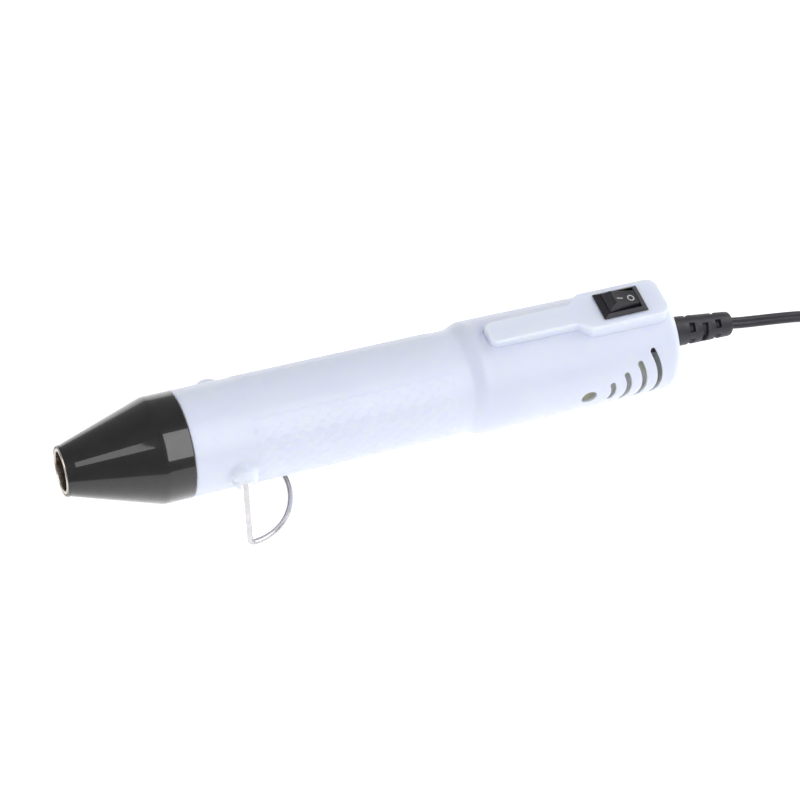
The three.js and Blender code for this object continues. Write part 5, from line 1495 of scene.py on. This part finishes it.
@dataclass
class MainsCord:
    """Flat twin cord: a free stretch, a round coil of two layers and a short bend to the plug on it."""

    width: float = 5.2 * MM
    thickness: float = 3.2 * MM
    exit: Vector = field(default_factory=lambda: TOOL_TO_WORLD @ StrainRelief().cord_exit())
    free_route: tuple[Point, ...] = (
        (6, -0.2, 13.1),
        (14, -0.6, 11.2),
        (24, -1.2, 9),
        (34, -2.1, 6.9),
        (40.4, -3.1, 5.4),
        (44.7, -4.6, 4.4),
        (48.6, -6.9, 3.45),
        (52.1, -9.8, 2.65),
        (57.1, -14.8, 1.85),
    )
    coil_mid_radius: float = 30 * MM
    layer_turns: float = 3.6
    turn_gap: float = 0.4 * MM
    centre_from_exit: tuple[float, float] = (96.5 * MM, 2.6 * MM)
    entry_deg: float = 225.0
    run_out_radius: float = 22 * MM
    run_out_rise_before: float = 30 * MM
    plug_thickness: float = 13 * MM
    steps_per_turn: int = 60
    exit_roll_deg: float = 38.0
    # Tie, on which the coil's turns are raised a little
    tie_deg: float = 45.0
    tie_thickness: float = 0.6 * MM
    tie_hump_deg: float = 60.0

    @property
    def lay_height(self) -> float:
        """Height of the cord's middle where it lies on the table."""
        return self.thickness / 2 + 0.05 * MM

    @property
    def turn_pitch(self) -> float:
        """Distance between two turns side by side."""
        return self.width + self.turn_gap

    @property
    def layer_pitch(self) -> float:
        """Height between two layers."""
        return self.thickness + self.turn_gap

    @property
    def outer_radius(self) -> float:
        """Radius of the outermost turn of the lower layer."""
        return self.coil_mid_radius + self.layer_turns / 2 * self.turn_pitch

    @property
    def centre(self) -> Vector:
        """Middle of the coil on the table."""
        return Vector((self.exit.x + self.centre_from_exit[0], self.centre_from_exit[1], 0))

    @property
    def plug_height(self) -> float:
        """Height of the middle of the plug, which lies on the coil."""
        return self.lay_height + self.layer_pitch + self.thickness / 2 + SEAT_GAP + self.plug_thickness / 2

    def on_coil(self, radius: float, angle: float, height: float) -> Vector:
        """Point at a radius and an angle from the coil's middle."""
        return self.centre + Vector((radius * math.cos(angle), radius * math.sin(angle), height))

    def hump(self, angle: float) -> float:
        """Height that the coil gains where it passes over the tie."""
        from_tie = angle - math.radians(self.tie_deg)
        away = abs(math.atan2(math.sin(from_tie), math.cos(from_tie)))
        return (self.tie_thickness + SEAT_GAP) * (1 - eased(away / math.radians(self.tie_hump_deg)))

    def run_out_rise(self, length: float) -> float:
        """Rise of the cord's end towards the plug, at a length past the last turn."""
        before = self.run_out_rise_before
        whole = before + self.run_out_radius * math.pi / 2
        return (self.plug_height - self.lay_height - self.layer_pitch) * eased((length + before) / whole)

    def inward(self, turns: float) -> float:
        """How many pitches in from the outer turn the cord lies after a number of turns."""
        if turns < self.layer_turns:
            return turns
        swung = self.layer_turns + 0.5
        rest = self.layer_turns - 1.5
        if turns < swung:
            return self.layer_turns + (rest - self.layer_turns) * (turns - self.layer_turns) / 0.5
        return rest - (turns - swung)

    def coil_points(self) -> list[Vector]:
        """Route of the coil and of the bend that takes its end over it to the plug."""
        turn_count = 2 * self.layer_turns - 0.5
        steps = round(turn_count * self.steps_per_turn)
        start = math.radians(self.entry_deg)
        last_turn = steps / self.steps_per_turn
        last_radius = self.outer_radius - self.turn_pitch * self.inward(last_turn)
        points = []
        for index in range(steps + 1):
            turns = index / self.steps_per_turn
            radius = self.outer_radius - self.turn_pitch * self.inward(turns)
            climb = self.layer_pitch * eased((turns - self.layer_turns + 0.5) / 0.5)
            angle = start + turns * 2 * math.pi
            left = (last_turn - turns) * 2 * math.pi * last_radius
            height = self.lay_height + climb + self.hump(angle) + self.run_out_rise(-left)
            points.append(self.on_coil(radius, angle, height))
        leaving = start + last_turn * 2 * math.pi
        middle = self.on_coil(last_radius - self.run_out_radius, leaving, 0)
        for index in range(1, 16):
            turn = index / 15 * math.pi / 2
            across = Vector((math.cos(leaving + turn), math.sin(leaving + turn), 0)) * self.run_out_radius
            rise = self.run_out_rise(self.run_out_radius * turn)
            points.append(middle + across + Vector((0, 0, self.lay_height + self.layer_pitch + rise)))
        return points

    def free_points(self, coil_start: Vector) -> list[Vector]:
        """Route of the free stretch, up to just before the coil.

        Args:
            coil_start: first point of the coil.

        Returns:
            The points.
        """
        start = math.radians(self.entry_deg)
        into = Vector((-math.sin(start), math.cos(start), 0))
        controls = [self.exit.copy()]
        for along, across, height in self.free_route:
            controls.append(Vector((self.exit.x + along * MM, across * MM, height * MM)))
        controls.append(coil_start - into * (self.width + SEAT_GAP))
        return curve_through(controls, 5)

    def heading(self, points: Sequence[Vector]) -> Vector:
        """Level direction of the cord's last step."""
        away = points[-1] - points[-2]
        return Vector((away.x, away.y, 0)).normalized()

    def section(self) -> list[tuple[float, float]]:
        """Outline of the twin section: two round cores side by side."""
        lobe = self.thickness / 2
        apart = self.width / 2 - lobe
        waist = math.acos(apart / lobe)
        angles = np.linspace(-math.pi + waist, math.pi - waist, 15)
        right = [(apart + lobe * math.cos(angle), lobe * math.sin(angle)) for angle in angles]
        left = [(-apart - lobe * math.cos(angle), lobe * math.sin(angle)) for angle in angles[::-1][1:-1]]
        return right + left

    def build(self, plug_pieces: Sequence[bpy.types.Object]) -> bpy.types.Object:
        """Sweep the cord along its route.

        Args:
            plug_pieces: pieces of the plug at its far end, and the tie; not used.

        Returns:
            The cord.
        """
        coil = self.coil_points()
        free = self.free_points(coil[0])
        route = [*free, *coil]
        roll = math.radians(self.exit_roll_deg)
        rolls = [roll * (1 - eased(index / (len(free) * 0.75))) for index in range(len(free))]
        piece = swept("mains_cord", route, section=self.section(), level=True, rolls=rolls)
        smooth(piece, 50.0)
        settle(piece, CORD_BLACK, Body.TOOL, "cord", "cord_coil")
        return piece


@dataclass
class CoilTie:
    """Flat strap that holds the coil's turns together."""

    width: float = 5 * MM
    corner: float = 2.4 * MM

    def build(self, cord: MainsCord) -> bpy.types.Object:
        """Bend the strap round the coil's section.

        Args:
            cord: the cord that it holds.

        Returns:
            The tie.
        """
        angle = math.radians(cord.tie_deg)
        near = []
        for point in cord.coil_points():
            across = point - cord.centre
            if abs(math.atan2(across.y, across.x) - angle) < math.pi / cord.steps_per_turn * 1.1:
                near.append((math.hypot(across.x, across.y), point.z))
        room = cord.width / 2 + SEAT_GAP
        thick = cord.tie_thickness
        low = Vector((min(radius for radius, _ in near) - room, 0, 0.05 * MM + thick))
        top = max(z for _, z in near) + cord.thickness / 2 + SEAT_GAP
        high = Vector((max(radius for radius, _ in near) + room, 0, top))
        outer = self.band(low, high, thick)
        inner = [(x, y - 1 * MM, z) for x, y, z in self.band(low, high, 0.0)]
        strap = prism("coil_tie_strap", outer, Vector((0, self.width, 0)))
        hollow = prism("strap_hollow", inner, Vector((0, self.width + 2 * MM, 0)))
        combine(strap, hollow, Joining.DIFFERENCE)
        bevel(strap, 0.15 * MM, 2, 60.0)
        turn = Matrix.Translation(cord.centre) @ Matrix.Rotation(angle, 4, "Z")
        smooth(transform_mesh(strap, turn), 35.0)
        return settle(strap, RELIEF_BLACK, Body.TOOL, "coil_tie")

    def band(self, low: Vector, high: Vector, grow: float) -> list[Point]:
        """Rounded outline of the strap's outer or inner face."""
        corner = self.corner - 0.6 * MM + grow
        x0, x1, z0, z1 = low.x - grow, high.x + grow, low.z - grow, high.z + grow
        points = []
        corners = (
            (x1 - corner, z0 + corner, -90),
            (x1 - corner, z1 - corner, 0),
            (x0 + corner, z1 - corner, 90),
            (x0 + corner, z0 + corner, 180),
        )
        for x, z, start in corners:
            for turn in np.radians(np.linspace(start, start + 90, 7)):
                points.append((x + corner * math.cos(turn), -self.width / 2, z + corner * math.sin(turn)))
        return points


@dataclass
class MainsPlug:
    """Flat moulded plug with two brass blades."""

    length: float = 32 * MM
    width: float = 24 * MM
    thickness: float = 13 * MM
    corner: float = 4 * MM
    blade: tuple[float, float, float] = (1.5 * MM, 17 * MM, 6.3 * MM)
    blade_spacing: float = 12.7 * MM

    def build(self, cord: MainsCord) -> list[bpy.types.Object]:
        """Build the plug at the end of the cord.

        Args:
            cord: the cord that it ends.

        Returns:
            The body and its two blades.
        """
        points = cord.coil_points()
        away = cord.heading(points)
        turn = away.to_track_quat("X", "Z").to_matrix().to_4x4()
        place = Matrix.Translation(points[-1] + away * SEAT_GAP) @ turn
        body = smooth(transform_mesh(self.body(), place), 40.0)
        pieces = [settle(body, CORD_BLACK, Body.TOOL, "plug_body")]
        for index, side in enumerate((-1, 1), start=1):
            blade = smooth(transform_mesh(self.blade_piece(side), place), 35.0)
            pieces.append(settle(blade, BRASS, Body.TOOL, f"plug_blade_{index}"))
        return pieces

    def outline(self, along: float, shrink: float) -> list[Vector]:
        """Rounded section of the body at a distance from the cord."""
        half_width = self.width / 2 - shrink
        half_height = self.thickness / 2 - min(shrink, self.thickness * 0.225)
        corner = min(self.corner, half_width, half_height)
        points = []
        for quarter, (sy, sz) in enumerate(((1, 1), (-1, 1), (-1, -1), (1, -1))):
            for angle in np.linspace(0, math.pi / 2, 7):
                turn = quarter * math.pi / 2 + angle
                across = sy * (half_width - corner) + corner * math.cos(turn)
                up = sz * (half_height - corner) + corner * math.sin(turn)
                points.append(Vector((along, across, up)))
        return points

    def body(self) -> bpy.types.Object:
        """Body lofted from a slim grip with finger ribs to its full front."""
        sections = [(0.0, 6.6 * MM), (0.3 * MM, 6.3 * MM)]
        for along in np.arange(1.2, 11.0, 0.6):
            rib = 0.28 * MM * (0.5 - 0.5 * math.cos(along / 2.4 * 2 * math.pi))
            base = 6.2 * MM - eased(along / 11.0) * 3.4 * MM
            sections.append((along * MM, base + rib))
        for along in np.linspace(11.2, 16.0, 8):
            sections.append((along * MM, 2.7 * MM * (1 - eased((along - 11.0) / 5.0))))
        sections.append((self.length - 1.2 * MM, 0.0))
        sections.append((self.length - 0.4 * MM, 0.3 * MM))
        sections.append((self.length, 1.0 * MM))
        start = self.outline(*sections[0])
        piece = outline_vertex("plug_shell", tuple(start[0]))
        extrude_along([tuple(point) for point in [*start, start[0]]])
        bpy.ops.mesh.select_all(action="SELECT")
        bpy.ops.mesh.remove_doubles(threshold=1e-6)
        bpy.ops.mesh.edge_face_add()
        deselect_all()
        order = [vertex.co.copy() for vertex in piece.data.vertices]
        indices = [min(range(len(start)), key=lambda i: (start[i] - point).length) for point in order]
        for along, shrink in sections[1:]:
            activate(piece)
            bpy.ops.object.mode_set(mode="EDIT")
            bpy.ops.mesh.extrude_region_move(TRANSFORM_OT_translate={"value": (0.1 * MM, 0, 0)})
            bpy.ops.object.mode_set(mode="OBJECT")
            wanted = self.outline(along, shrink)
            chosen = [vertex for vertex in piece.data.vertices if vertex.select]
            for vertex, index in zip(chosen, indices):
                vertex.co = wanted[index]
        activate(piece)
        bpy.ops.object.mode_set(mode="EDIT")
        close_and_orient()
        deselect_all()
        return piece

    def blade_piece(self, side: int) -> bpy.types.Object:
        """Blade with rounded edges and the round hole near its tip."""
        thick, long, wide = self.blade
        start = self.length + SEAT_GAP
        middle = side * self.blade_spacing / 2
        piece = block(
            f"plug_pin_{(side + 3) // 2}",
            (start, middle - thick / 2, -wide / 2),
            (start + long, middle + thick / 2, wide / 2),
        )
        bevel(piece, 0.35 * MM, 3, 60.0)
        hole = Vector((start + long - 4 * MM, middle, 0))
        reach = Vector((0, 2 * MM, 0))
        return combine(piece, bar("blade_hole", hole - reach, hole + reach, 1.5 * MM), Joining.DIFFERENCE)


# Parts inside the housing


@dataclass
class InnerParts:
    """Heater, fan, motor and wiring, which keep their plain shapes and get real finishes."""

    finishes: dict[str, Finish] = field(
        default_factory=lambda: {
            "heater_ring": PHENOLIC,
            "mica_tube": MICA,
            "heater_card_level": MICA,
            "heater_card_upright": MICA,
            "heater_spider": MICA,
            "heating_coil": HEAT_WIRE,
            "thermal_cutout": CAN_STEEL,
            "thermal_fuse": BRASS,
            "motor_carrier": CARRIER_PLASTIC,
            "fan": FAN_PLASTIC,
            "motor_shaft": BRIGHT_STEEL,
            "motor_can": CAN_STEEL,
            "motor_end_cap": CARRIER_PLASTIC,
            "motor_tab_near": BRASS,
            "motor_tab_far": BRASS,
            "rectifier_board": BOARD_RESIN,
            "diode_1": COMPONENT_BLACK,
            "diode_2": COMPONENT_BLACK,
            "diode_3": COMPONENT_BLACK,
            "diode_4": COMPONENT_BLACK,
            "smoothing_capacitor": CAPACITOR_BLUE,
            "switch_terminal_front": BRASS,
            "switch_terminal_rear": BRASS,
            "heater_lead_near": LEAD_RED,
            "heater_lead_far": LEAD_WHITE,
            "cord_tail": LEAD_WHITE,
        }
    )

    def build(self) -> None:
        """Give each carried-over part its finish."""
        for name, finish in self.finishes.items():
            node = bpy.data.objects[name]
            for slot in node.material_slots:
                slot.material = finish.material()
            LOG.info("%s: %s", name, finish.name)


# Studio


@dataclass(frozen=True)
class Softbox:
    """Rectangular light that faces the tool, its width along the tool.

    Attributes:
        name: its name.
        toward: direction from the tool to its middle, in the tool's own frame.
        size: its width and height.
        radiance: brightness of its face, where 1 is a white surface.
        away: its distance from the tool.
    """

    name: str
    toward: Point
    size: tuple[float, float]
    radiance: float
    away: float = 1.3

    def build(self, lit_point: Vector) -> None:
        """Place the light.

        Args:
            lit_point: the point of the tool that it faces, in the tool's own frame.
        """
        data = bpy.data.lights.new(self.name, "AREA")
        data.shape = "RECTANGLE"
        data.size, data.size_y = self.size
        data.energy = self.radiance * math.pi * self.size[0] * self.size[1]
        lamp = bpy.data.objects.new(self.name, data)
        bpy.context.scene.collection.objects.link(lamp)
        outward = Vector(self.toward).normalized()
        across = (Vector((1, 0, 0)) - outward * outward.x).normalized()
        axes = Matrix((across, outward.cross(across), outward)).transposed().to_4x4()
        place = Matrix.Translation(lit_point + outward * self.away)
        lamp.matrix_world = TOOL_TO_WORLD @ place @ axes


SOFTBOXES = (
    Softbox("near_softbox", (0.30, -0.587, 0.752), (0.52, 1.42), 3.4),
    Softbox("strip_light", (-0.44, -0.365, 0.82), (0.155, 0.41), 2.5),
    Softbox("right_softbox", (0.85, 0.1, 0.5), (0.8, 0.8), 2.6),
    Softbox("left_softbox", (-0.85, 0.1, 0.5), (0.8, 0.8), 2.9),
)
TABLE_PAPER = Finish(
    "white_table", "shell_white", (0.70, 0.70, 0.70), (0.69, 0.69, 0.69),
    roughness=(0.75, 0.85), specular=0.0, mottle_size=0.4, grain_size=2 * MM,
    grain_height=0.01 * MM, glow=0.7,
)


@dataclass
class Studio:
    """Camera at the photograph's place, white table lit from below, and soft lights above."""

    lens: float = 135.0
    camera_place: Point = (-247.7, -733.4, 993.7)
    right: Point = (0.9271, -0.3588, 0.1087)
    down: Point = (-0.2139, -0.7443, -0.6327)
    forward: Point = (0.3079, 0.5633, -0.7668)
    lit_point: Point = (47.0, 0.0, 20.0)
    table_size: float = 6.0
    sky_strength: float = 0.34

    def camera(self) -> bpy.types.Object:
        """Place the camera, whose pose is given in the tool's own frame."""
        turn = Matrix(
            (
                (self.right[0], -self.down[0], -self.forward[0]),
                (self.right[1], -self.down[1], -self.forward[1]),
                (self.right[2], -self.down[2], -self.forward[2]),
            )
        ).to_4x4()
        data = bpy.data.cameras.new("studio_camera")
        data.lens = self.lens
        data.sensor_width = 36.0
        data.clip_end = 20.0
        camera = bpy.data.objects.new("studio_camera", data)
        bpy.context.scene.collection.objects.link(camera)
        place = TOOL_TO_WORLD @ (Vector(self.camera_place) * MM)
        camera.matrix_world = Matrix.Translation(place) @ TOOL_TO_WORLD.to_3x3().to_4x4() @ turn
        bpy.context.scene.camera = camera
        return camera

    def table(self) -> bpy.types.Object:
        """White table top, softly lit from below."""
        deselect_all()
        bpy.ops.mesh.primitive_plane_add(size=self.table_size, location=(0, 0, -0.05 * MM))
        table = bpy.context.object
        table.name = "table_top"
        dress(table, TABLE_PAPER)
        return table

    def build(self) -> None:
        """Set up the table, the sky and the lights."""
        scene = bpy.context.scene
        scene.view_settings.view_transform = "Standard"
        self.camera()
        self.table()
        sky = bpy.data.worlds.new("studio_sky")
        sky.use_nodes = True
        background = sky.node_tree.nodes["Background"]
        background.inputs["Color"].default_value = (1.0, 1.0, 1.0, 1.0)
        background.inputs["Strength"].default_value = self.sky_strength
        scene.world = sky
        for softbox in SOFTBOXES:
            softbox.build(Vector(self.lit_point) * MM)


def main() -> None:
    """Build the studio and every piece of the tool."""
    logging.basicConfig(level=logging.INFO, format="%(name)s: %(message)s")
    Studio().build()
    cord = MainsCord()
    plug_pieces = MainsPlug().build(cord)
    cord.build([*plug_pieces, CoilTie().build(cord)])
    Housing().build()
    Nozzle().build()
    WireStand().build()
    PowerSwitch().build()
    StrainRelief().build()
    InnerParts().build()


if __name__ == "__main__":
    main()
